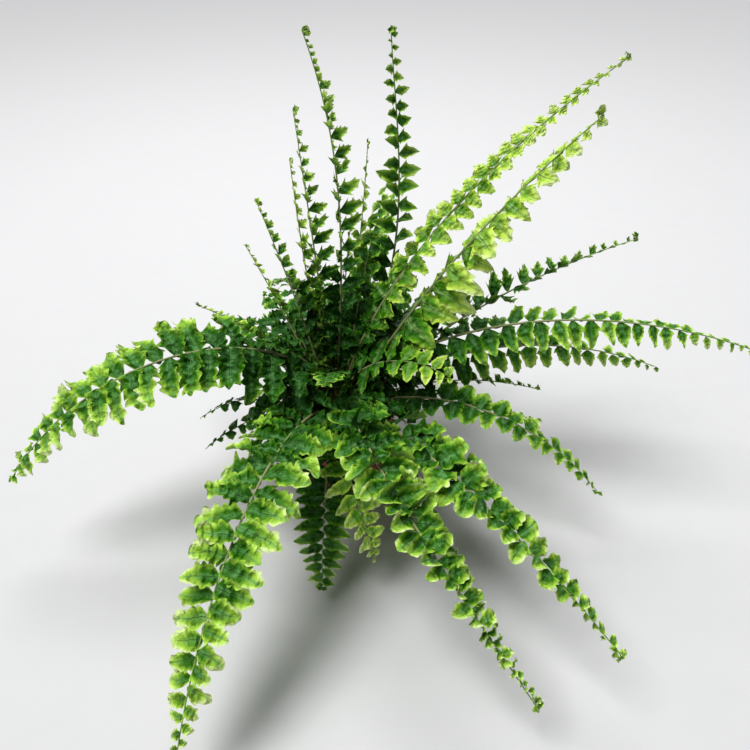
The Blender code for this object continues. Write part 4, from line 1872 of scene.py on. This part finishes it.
def rootstock_outline():
    foot = MOUND_TOP - 0.0012
    outline = [(0.0, foot), (ROOTSTOCK_RADIUS * 0.98, foot)]
    for step in range(DOME_STEPS):
        angle = radians(90.0 * step / DOME_STEPS)
        height = ROOTSTOCK_CENTRE + ROOTSTOCK_HEIGHT * sin(angle)
        outline.append((ROOTSTOCK_RADIUS * cos(angle), height))
    outline.append((0.0, ROOTSTOCK_CENTRE + ROOTSTOCK_HEIGHT))
    return outline


def make_mound():
    mesh = turned_mesh("fibre_mound", rootstock_outline()[::-1], MOUND_TURNS)
    for vertex in mesh.vertices:
        if vertex.co.z > MOUND_TOP:
            place = vertex.co
            outward = Vector((place.x, place.y, 0.4 * ROOTSTOCK_RADIUS)).normalized()
            vertex.co += outward * noise.noise(place * LUMP_CELLS) * LUMP_HEIGHT
    mesh.materials.append(rootstock_finish())
    mesh.shade_smooth()
    return finished_piece("fibre_mound", mesh, "rootstock_fibre", "rootstock")


mound = make_mound()
print("mound:", len(mound.data.polygons), "faces")

# %% Fur
STRANDS, STRAND_STEPS, STRAND_SIDES = 4, 4, 3
STRAND_RADIUS = 0.055


def fibre_mesh(seed):
    """A curved, pointed strand of three sides."""
    bend = random.Random(seed).uniform(0.25, 0.75)
    points, faces = [], []
    for step in range(STRAND_STEPS):
        share = step / STRAND_STEPS
        radius = STRAND_RADIUS * (1.0 - share)
        points += ring(radius, share, STRAND_SIDES, (bend * share**2, 0.0))
    points.append((bend, 0.0, 1.0))
    last = STRAND_SIDES * (STRAND_STEPS - 1)
    for first in range(0, last, STRAND_SIDES):
        for k in range(STRAND_SIDES):
            a, b = first + k, first + (k + 1) % STRAND_SIDES
            faces.append((a, b, b + STRAND_SIDES, a + STRAND_SIDES))
    point = last + STRAND_SIDES
    faces += [(last + k, last + (k + 1) % STRAND_SIDES, point) for k in range(STRAND_SIDES)]
    faces.append((2, 1, 0))
    mesh = bpy.data.meshes.new("fibre")
    mesh.from_pydata(points, [], faces)
    return mesh


FIBRES = bpy.data.collections.new("fibres")
for index in range(STRANDS):
    strand = bpy.data.objects.new(f"fibre_{index}", fibre_mesh(f"fibre {index}"))
    FIBRES.objects.link(strand)
scatter(mound.data, Scatter(
    name="mound_fur",
    slot="rootstock_fibre",
    pieces=FIBRES,
    finish=SCALE_FINISH,
    density=900000.0,
    least=0.0020,
    most=0.0052,
    lowest=MOUND_TOP,
    lean=0.22,
    seed=83,
))

# %% [markdown]
# ## Clearing up
# The collections of small shapes have done their work and go. The finished
# plant must stay in the room that its solids take.

# %% Clearing up
for pieces in (*LEAFLETS.values(), BARK_CRUMBS, PERLITE_GRAINS, FIBRES):
    bpy.data.collections.remove(pieces)
bpy.context.view_layer.update()
